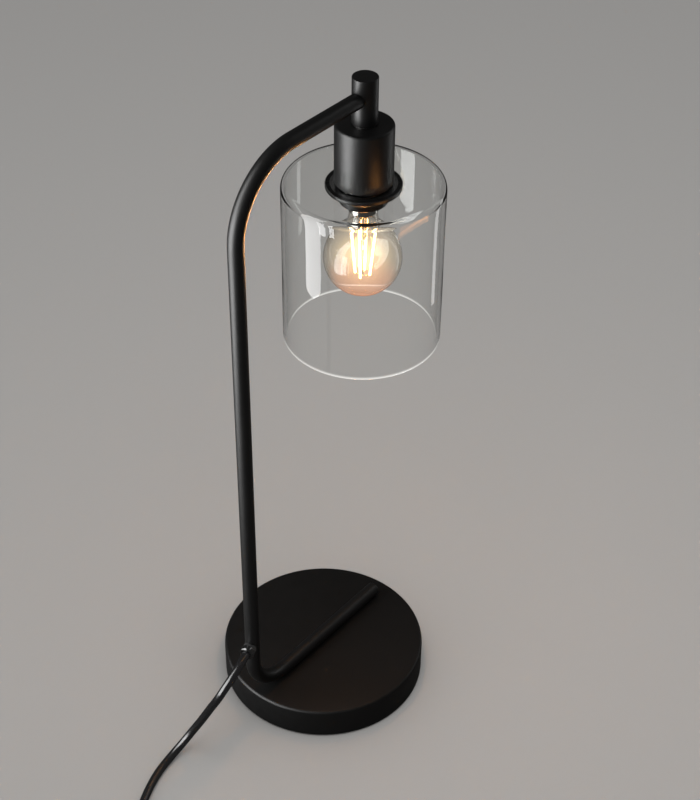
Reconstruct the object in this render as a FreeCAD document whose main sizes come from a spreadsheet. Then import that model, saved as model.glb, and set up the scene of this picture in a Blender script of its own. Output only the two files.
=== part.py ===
import FreeCAD, Part

import math
import os

import Sketcher

# Table lamp: a weighted round base, one bent steel tube that is foot, post and arm, a stem that
# hangs a cup with its lampholder, a clear glass cylinder shade, a small screw-cap bulb, and a mains
# cord with an in-line rocker switch and a flat two-pin plug.
# Millimetres. The origin is the centre of the base on the table. +Z is up and +X is the way that
# the arm points, so the post stands on the -X side.

os.makedirs("parts", exist_ok=True)
doc = FreeCAD.newDocument("TableLamp")

# Driving sizes. Each one is a cell of the sheet with its own alias.
SIZES = {
    # base
    "baseDiameter": 130.0,
    "baseHeight": 22.0,
    "coverWall": 1.2,
    "coverEdgeRadius": 1.8,
    "coverLift": 1.0,  # the cover's rim clears the table by this much, the pad reaches down to it
    "weightClearance": 0.3,
    "weightThickness": 16.0,
    "weightRecessDiameter": 84.0,
    "weightRecessDepth": 6.0,
    "weightRecessDraft": 1.5,
    "weightEdgeChamfer": 1.2,
    "plateThickness": 1.2,
    "plateScrewCircle": 104.0,
    "plateScrewCount": 3.0,
    "padInset": 1.5,
    "padRimChamfer": 0.6,
    "padPocketPlay": 0.6,
    # screws that hold the foot of the tube, and the plate's screws
    "footScrewBack": 16.0,  # distance of the rear screw behind the base's centre
    "footScrewFront": 34.0,
    "screwDiameter": 4.0,
    "screwPlay": 0.2,
    "screwHeadDiameter": 7.4,
    "screwHeadHeight": 2.6,
    "screwSlotWidth": 1.0,
    "screwSlotDepth": 1.0,
    "screwTip": 1.5,  # past the middle of its nut
    "barrelNutLength": 9.0,
    "plateScrewDiameter": 3.0,
    "plateScrewLength": 8.0,
    "plateScrewHeadDiameter": 5.6,
    "plateScrewHeadHeight": 1.6,
    "plateScrewSlotWidth": 0.8,
    "plateScrewSlotDepth": 0.7,
    # bent tube
    "tubeDiameter": 9.0,
    "tubeWall": 1.0,
    "tubeSeat": 0.05,  # paint thickness between the foot and the base
    "postOutset": 3.0,  # the post's axis stands this far outside the base's edge
    "footInset": 12.0,  # the foot ends this far inside the base's edge
    "footBendRadius": 30.0,
    "armBendRadius": 44.0,
    "armHeight": 408.0,
    "endCapThickness": 1.0,
    "endCapPlugLength": 6.0,
    "slipFit": 0.1,  # radial play of pieces that slip into each other
    "threadFit": 0.05,  # radial play in a thread or a pressed bore
    # cable gland
    "glandHeight": 72.0,
    "glandAngle": 18.0,  # turned from straight back towards -Y, degrees
    "glandCollarDiameter": 9.4,
    "glandCollarLength": 3.4,
    "glandNoseRadius": 1.3,
    "glandCordStart": 2.0,  # the free cord starts this deep in the collar
    "glandNeckDiameter": 6.2,
    "glandNeckInside": 0.5,  # reach of the neck past the tube's wall
    "glandNeckInCollar": 1.0,
    "glandWasherDiameter": 8.6,
    "glandWasherLength": 1.6,
    # head: stem, cup and what joins them
    "headOffset": 35.5,
    "stemDiameter": 14.5,
    "stemHeight": 27.4,
    "stemEdgeRadius": 0.7,
    "stemWasherDiameter": 12.6,
    "stemWasherThickness": 0.6,
    "tubeSocketDepth": 4.25,
    "wireWayDiameter": 7.0,
    "nippleDiameter": 10.0,
    "nippleBore": 6.6,
    "nippleLength": 25.0,
    "nippleInStem": 8.0,
    "nutWidth": 14.0,
    "nutThickness": 3.0,
    "cupDiameter": 33.0,
    "cupWall": 1.0,
    "cupHeight": 35.4,
    "cupEdgeRadius": 1.6,
    "cupGap": 0.6,  # between the cup's rim and the glass
    # lampholder
    "holderCapHeight": 15.5,
    "holderCapDiameter": 27.0,
    "holderBossDiameter": 14.4,
    "holderBossHeight": 4.5,
    "holderCapWall": 1.4,
    "holderCapSkirt": 4.0,
    "holderCapLip": 1.0,
    "holderCapRise": 2.0,
    "holderCapCone": 2.4,
    "holderCapConeInside": 1.6,
    "holderCapRiseInside": 1.4,
    "holderFlangeDiameter": 30.4,
    "holderFlangeThickness": 2.0,
    "holderBodyDiameter": 26.8,
    "holderSkirtDiameter": 27.8,
    "holderSkirtLength": 15.0,
    "holderSkirtWall": 1.6,
    "holderCeiling": 6.0,  # height of the socket's ceiling above the glass
    "holderTopHeight": 12.4,  # height of the body's top above the glass
    "shellBore": 14.6,
    "shellWall": 0.5,
    "shellLength": 14.0,
    "contactWidth": 5.0,
    "contactThickness": 0.5,
    "contactPlay": 0.1,
    "contactOffset": 3.0,
    "contactLeafLength": 6.5,
    "contactTail": 2.2,
    "sideContactReach": 4.0,
    "sideContactGap": 0.3,
    "leafDrop": 0.6,  # from the socket's ceiling to the leaf
    "leafGap": 0.6,  # from the leaf to the bulb
    "terminalSpacing": 13.0,
    "terminalScrewDiameter": 3.0,
    "terminalScrewLength": 5.0,
    "terminalHeadRim": 1.2,
    "terminalHeadHeight": 1.6,
    "terminalRoot": 2.2,
    "terminalSlotWidth": 0.7,
    "terminalSlotDepth": 0.8,
    # shade and ring
    "shadeDiameter": 92.0,
    "shadeHeight": 103.0,
    "shadeWall": 2.0,
    "shadeCornerRadius": 4.0,
    "shadeRimRadius": 0.8,
    "shadeHoleDiameter": 28.8,
    "shadeDrop": 52.0,  # from the arm's axis down to the glass
    "ringDiameter": 43.0,
    "ringRimWidth": 2.8,
    "ringRimHeight": 1.4,
    "ringFlangeThickness": 1.4,
    "ringHubDiameter": 33.4,
    "ringHeight": 9.4,
    "ringUndercut": 0.6,
    "ringLedgeDraft": 0.8,
    "ringGripEnd": 1.5,
    "ringBore": 28.3,
    "ringGripCount": 24.0,
    "ringGripDepth": 0.7,
    # bulb
    "bulbDiameter": 45.0,
    "bulbLength": 76.0,
    "bulbWall": 0.8,
    "bulbNeckDiameter": 16.2,
    "bulbNeckRadius": 12.0,
    "bulbCapHeight": 23.6,
    "bulbCapRim": 17.0,
    "bulbCapRimHeight": 3.0,
    "bulbCapRimDraft": 2.0,
    "bulbCapShoulder": 1.2,
    "bulbThreadDiameter": 13.8,
    "bulbCapWall": 0.3,
    "bulbInsulatorDiameter": 9.6,
    "bulbInsulatorHeight": 3.0,
    "bulbInsulatorSeat": 0.7,
    "bulbInsulatorRoot": 1.0,
    "bulbContactDiameter": 4.8,
    "bulbContactHeight": 1.2,
    "bulbContactDraft": 0.8,
    "bulbContactSeat": 0.4,
    "bulbStemDiameter": 4.4,
    "bulbStemLength": 21.0,
    "bulbStemGap": 0.5,  # from the flare to the neck's end
    "bulbStemTaper": 2.0,
    "bulbStemTipDraft": 0.6,
    "bulbFlareStart": 7.0,
    "bulbFlareRim": 1.0,
    "bulbFlareGap": 0.2,
    "filamentCount": 4.0,
    "filamentDiameter": 1.5,
    "filamentLength": 30.0,
    "filamentTopRadius": 8.0,
    "filamentBottomRadius": 4.2,
    "filamentDrop": 12.5,  # from the bulb's bottom to the filaments' lower ends
    "supportWire": 0.5,
    "supportDrop": 0.8,
    "supportRise": 1.5,
    "supportGap": 0.3,
    "supportPlay": 0.05,
    # cord and wires
    "cordDiameter": 5.2,
    "wireDiameter": 2.0,
    "wireSpacing": 2.3,
    "wireBend": 2.6,
    "coilRadius": 18.0,  # innermost turn
    "coilPitch": 5.8,
    "coilHalfTurns": 8.0,  # half turns in each of the two layers
    "coilLayerStep": 5.7,
    "coilClimbStep": 3.0,  # the half turn that climbs lies this much further in
    # in-line switch
    "switchLength": 62.0,
    "switchWidth": 24.0,
    "switchHeight": 16.5,
    "switchWall": 1.6,
    "switchCornerRadius": 9.0,
    "switchTopRadius": 3.0,
    "switchEdgeRadius": 1.5,
    "switchBossWall": 0.8,
    "switchBossWallAbove": 0.4,
    "switchBossFoot": 1.0,
    "switchCordHeight": 6.5,
    "rockerLength": 17.0,
    "rockerWidth": 10.0,
    "rockerHeight": 9.0,
    "rockerTilt": 8.0,
    "rockerPlay": 0.5,
    "rockerPinDiameter": 2.0,
    "rockerPivotDrop": 5.5,
    "rockerRibLength": 7.0,
    "rockerRibWidth": 1.8,
    "rockerRibHeight": 6.5,
    "rockerRibBelow": 2.0,
    "rockerPinEnd": 0.2,  # the pin stops this far inside the ribs
    "rockerFootInset": 2.4,
    "rockerFootRise": 1.0,
    "rockerSideDraft": 0.3,
    "rockerEdgeDrop": 0.4,
    "rockerCrown": 1.9,
    "rockerQuarter": 1.1,
    "rockerDip": 0.8,
    "switchScrewSpacing": 46.0,
    "switchScrewDiameter": 2.6,
    "switchScrewSeat": 2.0,
    "switchScrewShort": 7.0,
    "switchScrewHeadHeight": 1.4,
    "switchScrewHeadPlay": 0.1,
    "switchScrewSlot": 0.6,
    "switchBoreShort": 4.0,
    "switchContactLength": 16.0,
    "switchContactWidth": 4.0,
    "switchContactThickness": 0.8,
    "switchContactOut": 4.0,
    # plug
    "plugLength": 36.0,
    "plugWidth": 35.3,
    "plugThickness": 13.7,
    "plugCornerRadius": 4.0,
    "plugShoulder": 1.6,  # the body is this much wider than the relief
    "plugFlare": 0.45,  # share of the length that widens
    "plugReliefLength": 22.0,
    "plugReliefDiameter": 8.6,
    "reliefRibs": 5.0,
    "reliefRibShare": 0.13,  # of the relief's length
    "reliefTipWall": 0.9,
    "reliefGroove": 0.7,
    "pinDiameter": 4.0,
    "pinLength": 19.0,
    "pinSpacing": 18.6,
}

sheet = doc.addObject("Spreadsheet::Sheet", "Sizes")
for row, (alias, value) in enumerate(SIZES.items(), start=1):
    sheet.set("A%d" % row, alias)
    sheet.set("B%d" % row, str(value))
    sheet.setAlias("B%d" % row, alias)
doc.recompute()


def size(alias):
    """A driving size, read back from the sheet."""
    return float(sheet.get(alias))


def bound(text):
    """Turn plain aliases in a formula into references to the sheet's cells."""
    out, word = "", ""
    for letter in text + " ":
        if letter.isalnum():
            word += letter
            continue
        out += "Sizes." + word if word in SIZES else word
        out += letter
        word = ""
    return out.strip()


def post_offset():
    """Distance of the post's axis behind the base's centre."""
    return size("baseDiameter") / 2 + size("postOutset")


def foot_reach():
    """Distance of the foot's end in front of the base's centre."""
    return size("baseDiameter") / 2 - size("footInset")


def shade_top():
    """Height of the glass's upper face."""
    return size("armHeight") - size("shadeDrop")


nodes = {}


def keep(name, obj):
    """List an object as one of the lamp's sub-parts."""
    obj.Label = name
    nodes[name] = obj
    return obj


def bind(obj, **formulas):
    for prop, formula in formulas.items():
        obj.setExpression(prop, bound(formula))
    return obj


def place(obj, x="0", y="0", z="0"):
    obj.setExpression("Placement.Base.x", bound(x))
    obj.setExpression("Placement.Base.y", bound(y))
    obj.setExpression("Placement.Base.z", bound(z))
    return obj


def turn(obj, axis, angle):
    obj.Placement.Rotation = FreeCAD.Rotation(FreeCAD.Vector(*axis), angle)
    return obj


def origin_plane(body, role):
    return next(f for f in body.Origin.OriginFeatures if f.Role == role)


def sketch_on(body, role, name):
    sketch = body.newObject("Sketcher::SketchObject", name)
    sketch.AttachmentSupport = (origin_plane(body, role), [""])
    sketch.MapMode = "FlatFace"
    return sketch


def outline(sketch, corners):
    """Closed outline through corners given as (x formula, y formula), each bound to the sheet."""
    count = len(corners)
    for i in range(count):
        a, b = (2 * math.pi * k / count for k in (i, i + 1))
        sketch.addGeometry(
            Part.LineSegment(
                FreeCAD.Vector(60 + 40 * math.cos(a), 40 * math.sin(a), 0),
                FreeCAD.Vector(60 + 40 * math.cos(b), 40 * math.sin(b), 0),
            ),
            False,
        )
    for i in range(count):
        sketch.addConstraint(Sketcher.Constraint("Coincident", i, 2, (i + 1) % count, 1))
    for i, (x, y) in enumerate(corners):
        for kind, formula, axis in (("DistanceX", x, -2), ("DistanceY", y, -1)):
            if formula == "0":
                sketch.addConstraint(Sketcher.Constraint("PointOnObject", i, 1, axis))
                continue
            index = sketch.addConstraint(Sketcher.Constraint(kind, -1, 1, i, 1, 10.0))
            sketch.setExpression("Constraints[%d]" % index, bound(formula))
    return sketch


def circle_edges(shape, radius, height):
    """Names of the full or part circles about Z that have this radius and height."""
    found = []
    for i, edge in enumerate(shape.Edges, start=1):
        if edge.Degenerated or not isinstance(edge.Curve, Part.Circle):
            continue
        curve = edge.Curve
        if abs(curve.Radius - radius) < 0.01 and abs(curve.Center.z - height) < 0.01:
            found.append("Edge%d" % i)
    return found


def turned(name, corners, fillets=(), listed=True):
    """A body turned about Z from corners (radius, height). Each fillet is (radius, height, size)."""
    body = doc.addObject("PartDesign::Body", name)
    profile = outline(sketch_on(body, "XZ_Plane", name + "Profile"), corners)
    spin = body.newObject("PartDesign::Revolution", name + "Turned")
    spin.Profile = profile
    spin.ReferenceAxis = (profile, ["V_Axis"])
    spin.Angle = 360
    body.Tip = spin
    doc.recompute()
    for number, (radius, height, formula) in enumerate(fillets):
        sharp = body.Tip
        fillet = body.newObject("PartDesign::Fillet", "%sFillet%d" % (name, number))
        fillet.Base = (sharp, circle_edges(sharp.Shape, radius, height))
        bind(fillet, Radius=formula)
        body.Tip = fillet
        doc.recompute()
    return keep(name, body) if listed else body


def cylinder(name, radius, height, x="0", y="0", z="0"):
    return place(bind(doc.addObject("Part::Cylinder", name), Radius=radius, Height=height), x, y, z)


def block(name, length, width, height, x="0", y="0", z="0"):
    solid = doc.addObject("Part::Box", name)
    return place(bind(solid, Length=length, Width=width, Height=height), x, y, z)


def cut(name, base, *tools):
    """Base with each tool taken away in turn."""
    for number, tool in enumerate(tools):
        step = doc.addObject("Part::Cut", "%sCut%d" % (name, number))
        step.Base, step.Tool = base, tool
        base = step
    return base


def fuse(name, *solids):
    joined = doc.addObject("Part::MultiFuse", name + "Fused")
    joined.Shapes = list(solids)
    return joined


def group(name, *solids):
    """Separate solids that share one node."""
    together = doc.addObject("Part::Compound", name + "Group")
    together.Links = list(solids)
    return keep(name, together)


def feature(name, shape):
    made = doc.addObject("Part::Feature", name)
    made.Shape = shape
    return made


def vec(x, y, z):
    return FreeCAD.Vector(x, y, z)


# Heights that several pieces share, as formulas of the sheet's sizes.
COVER_CEILING = "(baseHeight - coverWall)"
WEIGHT_BOTTOM = "(baseHeight - coverWall - weightThickness)"
PLATE_BOTTOM = "(baseHeight - coverWall - weightThickness - plateThickness)"
RECESS_CEILING = "(baseHeight - coverWall - weightThickness + weightRecessDepth)"
FOOT_AXIS = "(baseHeight + tubeSeat + tubeDiameter / 2)"
POST_OFFSET = "(baseDiameter / 2 + postOutset)"
CUP_BOTTOM = "((armHeight - shadeDrop) + cupGap)"
CUP_TOP = "((armHeight - shadeDrop) + cupGap + cupHeight)"
STEM_BOTTOM = "((armHeight - shadeDrop) + cupGap + cupHeight + stemWasherThickness)"
NIPPLE_TOP = "((armHeight - shadeDrop) + cupGap + cupHeight + stemWasherThickness + nippleInStem)"
HOLDER_TOP = "((armHeight - shadeDrop) + holderTopHeight)"
HOLDER_CEILING = "((armHeight - shadeDrop) + holderCeiling)"
SHADE_UNDERSIDE = "((armHeight - shadeDrop) - shadeWall)"
BULB_TOP = "((armHeight - shadeDrop) + holderCeiling - contactThickness - leafDrop - leafGap)"
BULB_BOTTOM = BULB_TOP + " - bulbLength"


def build_base():
    """Pressed steel cover, cast weight, bottom plate, foam pad and the screws between them."""
    outer = "baseDiameter / 2"
    inner = "baseDiameter / 2 - coverWall"
    cover = turned(
        "base_cover_blank",
        [
            ("0", COVER_CEILING),
            (inner, COVER_CEILING),
            (inner, "coverLift"),
            (outer, "coverLift"),
            (outer, "baseHeight"),
            ("0", "baseHeight"),
        ],
        [(size("baseDiameter") / 2, size("baseHeight"), "coverEdgeRadius")],
        listed=False,
    )
    hole = "screwDiameter / 2 + screwPlay"
    holes = [
        cylinder("cover_hole_%s" % end, hole, "3 * coverWall", x, "0", COVER_CEILING + " - coverWall")
        for end, x in (("back", "-footScrewBack"), ("front", "footScrewFront"))
    ]
    keep("base_cover", cut("base_cover", cover, *holes))

    edge = "baseDiameter / 2 - coverWall - weightClearance"
    weight = turned(
        "base_weight_blank",
        [
            ("0", RECESS_CEILING),
            ("weightRecessDiameter / 2", RECESS_CEILING),
            ("weightRecessDiameter / 2 + weightRecessDraft", WEIGHT_BOTTOM),
            (edge, WEIGHT_BOTTOM),
            (edge, COVER_CEILING + " - weightEdgeChamfer"),
            (edge + " - weightEdgeChamfer", COVER_CEILING),
            ("0", COVER_CEILING),
        ],
        listed=False,
    )
    bores = [
        cylinder("weight_bore_%s" % end, hole, "weightThickness + 2", x, "0", WEIGHT_BOTTOM + " - 1")
        for end, x in (("back", "-footScrewBack"), ("front", "footScrewFront"))
    ]
    tapped = ring_of(
        "weight_tapping",
        lambda name, x, y: cylinder(
            name, "plateScrewDiameter / 2 + threadFit", "plateScrewLength", x, y, PLATE_BOTTOM
        ),
    )
    keep("base_weight", cut("base_weight", weight, *bores, *tapped))

    plate = cylinder("plate_disc", edge, "plateThickness", z=PLATE_BOTTOM)
    clear = ring_of(
        "plate_hole",
        lambda name, x, y: cylinder(
            name,
            "plateScrewDiameter / 2 + screwPlay",
            "3 * plateThickness",
            x,
            y,
            PLATE_BOTTOM + " - plateThickness",
        ),
    )
    keep("base_plate", cut("base_plate", plate, *clear))

    pad = turned(
        "foot_pad_blank",
        [
            ("0", "0"),
            ("baseDiameter / 2 - coverWall - padInset - padRimChamfer", "0"),
            ("baseDiameter / 2 - coverWall - padInset", "padRimChamfer"),
            ("baseDiameter / 2 - coverWall - padInset", PLATE_BOTTOM),
            ("0", PLATE_BOTTOM),
        ],
        listed=False,
    )
    pockets = ring_of(
        "pad_pocket",
        lambda name, x, y: cylinder(
            name,
            "plateScrewHeadDiameter / 2 + padPocketPlay",
            "2 * plateScrewHeadHeight",
            x,
            y,
            PLATE_BOTTOM + " - plateScrewHeadHeight - screwPlay",
        ),
    )
    keep("foot_pad", cut("foot_pad", pad, *pockets))

    def plate_screw(name, x, y):
        head = cylinder(
            name + "_head",
            "plateScrewHeadDiameter / 2",
            "plateScrewHeadHeight",
            x,
            y,
            PLATE_BOTTOM + " - plateScrewHeadHeight",
        )
        shank = cylinder(
            name + "_shank", "plateScrewDiameter / 2", "plateScrewLength - screwPlay", x, y, PLATE_BOTTOM
        )
        slot = block(
            name + "_slot",
            "2 * plateScrewHeadDiameter",
            "plateScrewSlotWidth",
            "plateScrewSlotDepth",
            x + " - plateScrewHeadDiameter",
            y + " - plateScrewSlotWidth / 2",
            PLATE_BOTTOM + " - plateScrewHeadHeight",
        )
        return cut(name, fuse(name, head, shank), slot)

    group("plate_screws", *ring_of("plate_screw", plate_screw))

    screws, nuts = [], []
    for end, x in (("back", "-footScrewBack"), ("front", "footScrewFront")):
        name = "foot_screw_" + end
        head = cylinder(
            name + "_head",
            "screwHeadDiameter / 2",
            "screwHeadHeight",
            x,
            "0",
            RECESS_CEILING + " - screwHeadHeight",
        )
        shank = cylinder(
            name + "_shank",
            "screwDiameter / 2",
            FOOT_AXIS + " + screwTip - " + RECESS_CEILING,
            x,
            "0",
            RECESS_CEILING,
        )
        slot = block(
            name + "_slot",
            "2 * screwHeadDiameter",
            "screwSlotWidth",
            "screwSlotDepth",
            x + " - screwHeadDiameter",
            "-screwSlotWidth / 2",
            RECESS_CEILING + " - screwHeadHeight",
        )
        screws.append(cut(name, fuse(name, head, shank), slot))
        barrel = cylinder(
            "nut_" + end,
            "tubeDiameter / 2 - tubeWall - slipFit",
            "barrelNutLength",
            x + " - barrelNutLength / 2",
            "0",
            FOOT_AXIS,
        )
        turn(barrel, (0, 1, 0), 90)
        thread = cylinder(
            "nut_thread_" + end,
            "screwDiameter / 2 + threadFit",
            "tubeDiameter",
            x,
            "0",
            FOOT_AXIS + " - tubeDiameter / 2",
        )
        nuts.append(cut("nut_" + end, barrel, thread))
    group("foot_screws", *screws)
    group("foot_nuts", *nuts)


def ring_of(name, make):
    """Copies of a feature on the plate's screw circle."""
    made = []
    count = int(round(size("plateScrewCount")))
    for i in range(count):
        angle = "(90 + 360 * %d / plateScrewCount) * 1deg" % i
        x = "plateScrewCircle / 2 * cos(%s)" % angle
        y = "plateScrewCircle / 2 * sin(%s)" % angle
        made.append(make("%s_%d" % (name, i + 1), x, y))
    return made


def tube_path():
    """Axis of the bent tube: foot, lower bend, post, upper bend and arm, in the XZ plane."""
    post, foot = -post_offset(), size("baseHeight") + size("tubeSeat") + size("tubeDiameter") / 2
    low, high, arm = size("footBendRadius"), size("armBendRadius"), size("armHeight")
    start = foot_reach() - size("endCapThickness")
    end = size("headOffset") - size("stemDiameter") / 2 + size("tubeSocketDepth")
    half = math.sqrt(0.5)
    return [
        Part.LineSegment(vec(start, 0, foot), vec(post + low, 0, foot)),
        Part.Arc(
            vec(post + low, 0, foot),
            vec(post + low * (1 - half), 0, foot + low * (1 - half)),
            vec(post, 0, foot + low),
        ),
        Part.LineSegment(vec(post, 0, foot + low), vec(post, 0, arm - high)),
        Part.Arc(
            vec(post, 0, arm - high),
            vec(post + high * (1 - half), 0, arm - high * (1 - half)),
            vec(post + high, 0, arm),
        ),
        Part.LineSegment(vec(post + high, 0, arm), vec(end, 0, arm)),
    ]


def flat_sketch_curve(curve):
    """A curve of the XZ plane as one of a sketch on that plane."""
    def down(p):
        return vec(p.x, p.z, 0)

    if isinstance(curve, Part.LineSegment):
        return Part.LineSegment(down(curve.StartPoint), down(curve.EndPoint))
    middle = curve.value((curve.FirstParameter + curve.LastParameter) / 2)
    return Part.Arc(down(curve.StartPoint), down(middle), down(curve.EndPoint))


def build_tube():
    """The bent tube swept along its axis, its holes, its end cap and the gland on the post."""
    body = doc.addObject("PartDesign::Body", "lamp_tube_blank")
    path = sketch_on(body, "XZ_Plane", "TubeAxis")
    for curve in tube_path():
        path.addGeometry(flat_sketch_curve(curve), False)
    arcs = {}
    for low, arc, high in ((0, 1, 2), (2, 3, 4)):
        for line, line_end in ((low, 2), (high, 1)):
            point = path.getPoint(line, line_end)
            near = min((1, 2), key=lambda k: path.getPoint(arc, k).distanceToPoint(point))
            path.addConstraint(Sketcher.Constraint("Tangent", line, line_end, arc, near))
        arcs[arc] = path.addConstraint(Sketcher.Constraint("Radius", arc, 30.0 if arc == 1 else 44.0))
    path.setExpression("Constraints[%d]" % arcs[1], bound("footBendRadius"))
    path.setExpression("Constraints[%d]" % arcs[3], bound("armBendRadius"))
    path.addConstraint(Sketcher.Constraint("Horizontal", 0))
    path.addConstraint(Sketcher.Constraint("Vertical", 2))
    path.addConstraint(Sketcher.Constraint("Horizontal", 4))
    for kind, line, formula in (
        ("DistanceX", (0, 1), "(baseDiameter / 2 - footInset) - endCapThickness"),
        ("DistanceY", (0, 1), FOOT_AXIS),
        ("DistanceX", (2, 1), "-(baseDiameter / 2 + postOutset)"),
        ("DistanceX", (4, 2), "headOffset - stemDiameter / 2 + tubeSocketDepth"),
        ("DistanceY", (4, 2), "armHeight"),
    ):
        point = path.getPoint(*line)
        here = point.x if kind == "DistanceX" else point.y
        index = path.addConstraint(Sketcher.Constraint(kind, -1, 1, line[0], line[1], here))
        path.setExpression("Constraints[%d]" % index, bound(formula))

    section = sketch_on(body, "YZ_Plane", "TubeSection")
    section.setExpression(
        "AttachmentOffset.Base.z", bound("(baseDiameter / 2 - footInset) - endCapThickness")
    )
    section.setExpression("AttachmentOffset.Base.y", bound(FOOT_AXIS))
    for formula in ("tubeDiameter / 2", "tubeDiameter / 2 - tubeWall"):
        ring = section.addGeometry(Part.Circle(vec(0, 0, 0), vec(0, 0, 1), 4.0), False)
        section.addConstraint(Sketcher.Constraint("Coincident", ring, 3, -1, 1))
        index = section.addConstraint(Sketcher.Constraint("Radius", ring, 4.0))
        section.setExpression("Constraints[%d]" % index, bound(formula))
    doc.recompute()
    pipe = body.newObject("PartDesign::AdditivePipe", "TubeSwept")
    pipe.Profile = section
    pipe.Spine = (path, ["Edge%d" % (i + 1) for i in range(5)])
    body.Tip = pipe
    doc.recompute()

    screw_holes = [
        cylinder(
            "tube_hole_" + end,
            "screwDiameter / 2 + screwPlay",
            "tubeDiameter / 2",
            x,
            "0",
            "baseHeight - 1",
        )
        for end, x in (("back", "-footScrewBack"), ("front", "footScrewFront"))
    ]
    gland_hole = along_gland("tube_gland_hole", "glandNeckDiameter / 2 + slipFit", "tubeDiameter", "0")
    keep("lamp_tube", cut("lamp_tube", body, *screw_holes, gland_hole))

    cap_start = "(baseDiameter / 2 - footInset) - endCapThickness"
    disc = turn(
        cylinder("cap_disc", "tubeDiameter / 2", "endCapThickness", cap_start, "0", FOOT_AXIS),
        (0, 1, 0),
        90,
    )
    plug = turn(
        cylinder(
            "cap_plug", "tubeDiameter / 2 - tubeWall - slipFit", "endCapPlugLength + endCapThickness / 2",
            cap_start + " - endCapPlugLength", "0", FOOT_AXIS,
        ),
        (0, 1, 0),
        90,
    )
    keep("tube_end_cap", fuse("tube_end_cap", disc, plug))


def along_gland(name, radius, length, start):
    """A cylinder on the gland's axis, from a distance off the post's axis outwards."""
    solid = cylinder(name, radius, length)
    solid.Placement.Rotation = FreeCAD.Rotation(vec(0, 0, 1), vec(*gland_direction()))
    place(
        solid,
        "-(baseDiameter / 2 + postOutset) - (%s) * cos(glandAngle * 1deg)" % start,
        "-(%s) * sin(glandAngle * 1deg)" % start,
        "glandHeight",
    )
    return solid


def gland_direction():
    angle = math.radians(size("glandAngle"))
    return (-math.cos(angle), -math.sin(angle), 0.0)


def build_gland():
    """Bushing pressed into the post, its collar saddled on the tube over a rubber washer."""
    surface = "tubeDiameter / 2"
    post = cylinder(
        "gland_saddle",
        "tubeDiameter / 2 + tubeSeat",
        "4 * glandCollarDiameter",
        "-(baseDiameter / 2 + postOutset)",
        "0",
        "glandHeight - 2 * glandCollarDiameter",
    )
    washer = along_gland(
        "gland_washer_disc", "glandWasherDiameter / 2", "glandWasherLength + tubeDiameter / 2", "0"
    )
    bore = along_gland("gland_washer_bore", "glandNeckDiameter / 2 + threadFit", "3 * tubeDiameter", "0")
    keep("gland_washer", cut("gland_washer", washer, post, bore))

    collar = along_gland(
        "gland_collar", "glandCollarDiameter / 2", "glandCollarLength", surface + " + glandWasherLength"
    )
    doc.recompute()
    nose = doc.addObject("Part::Fillet", "gland_nose")
    nose.Base = collar
    outer = max(
        range(len(collar.Shape.Edges)),
        key=lambda i: collar.Shape.Edges[i].CenterOfMass.sub(
            vec(-post_offset(), 0, size("glandHeight"))
        ).Length
        if isinstance(collar.Shape.Edges[i].Curve, Part.Circle) else -1,
    )
    nose.Edges = [(outer + 1, size("glandNoseRadius"), size("glandNoseRadius"))]
    neck = along_gland(
        "gland_neck",
        "glandNeckDiameter / 2",
        "tubeWall + glandWasherLength + glandNeckInside + glandNeckInCollar",
        surface + " - tubeWall - glandNeckInside",
    )
    hole = along_gland("gland_bore", "cordDiameter / 2 + threadFit", "4 * tubeDiameter", "0")
    keep("cord_gland", cut("cord_gland", fuse("cord_gland", nose, neck), hole))


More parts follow.
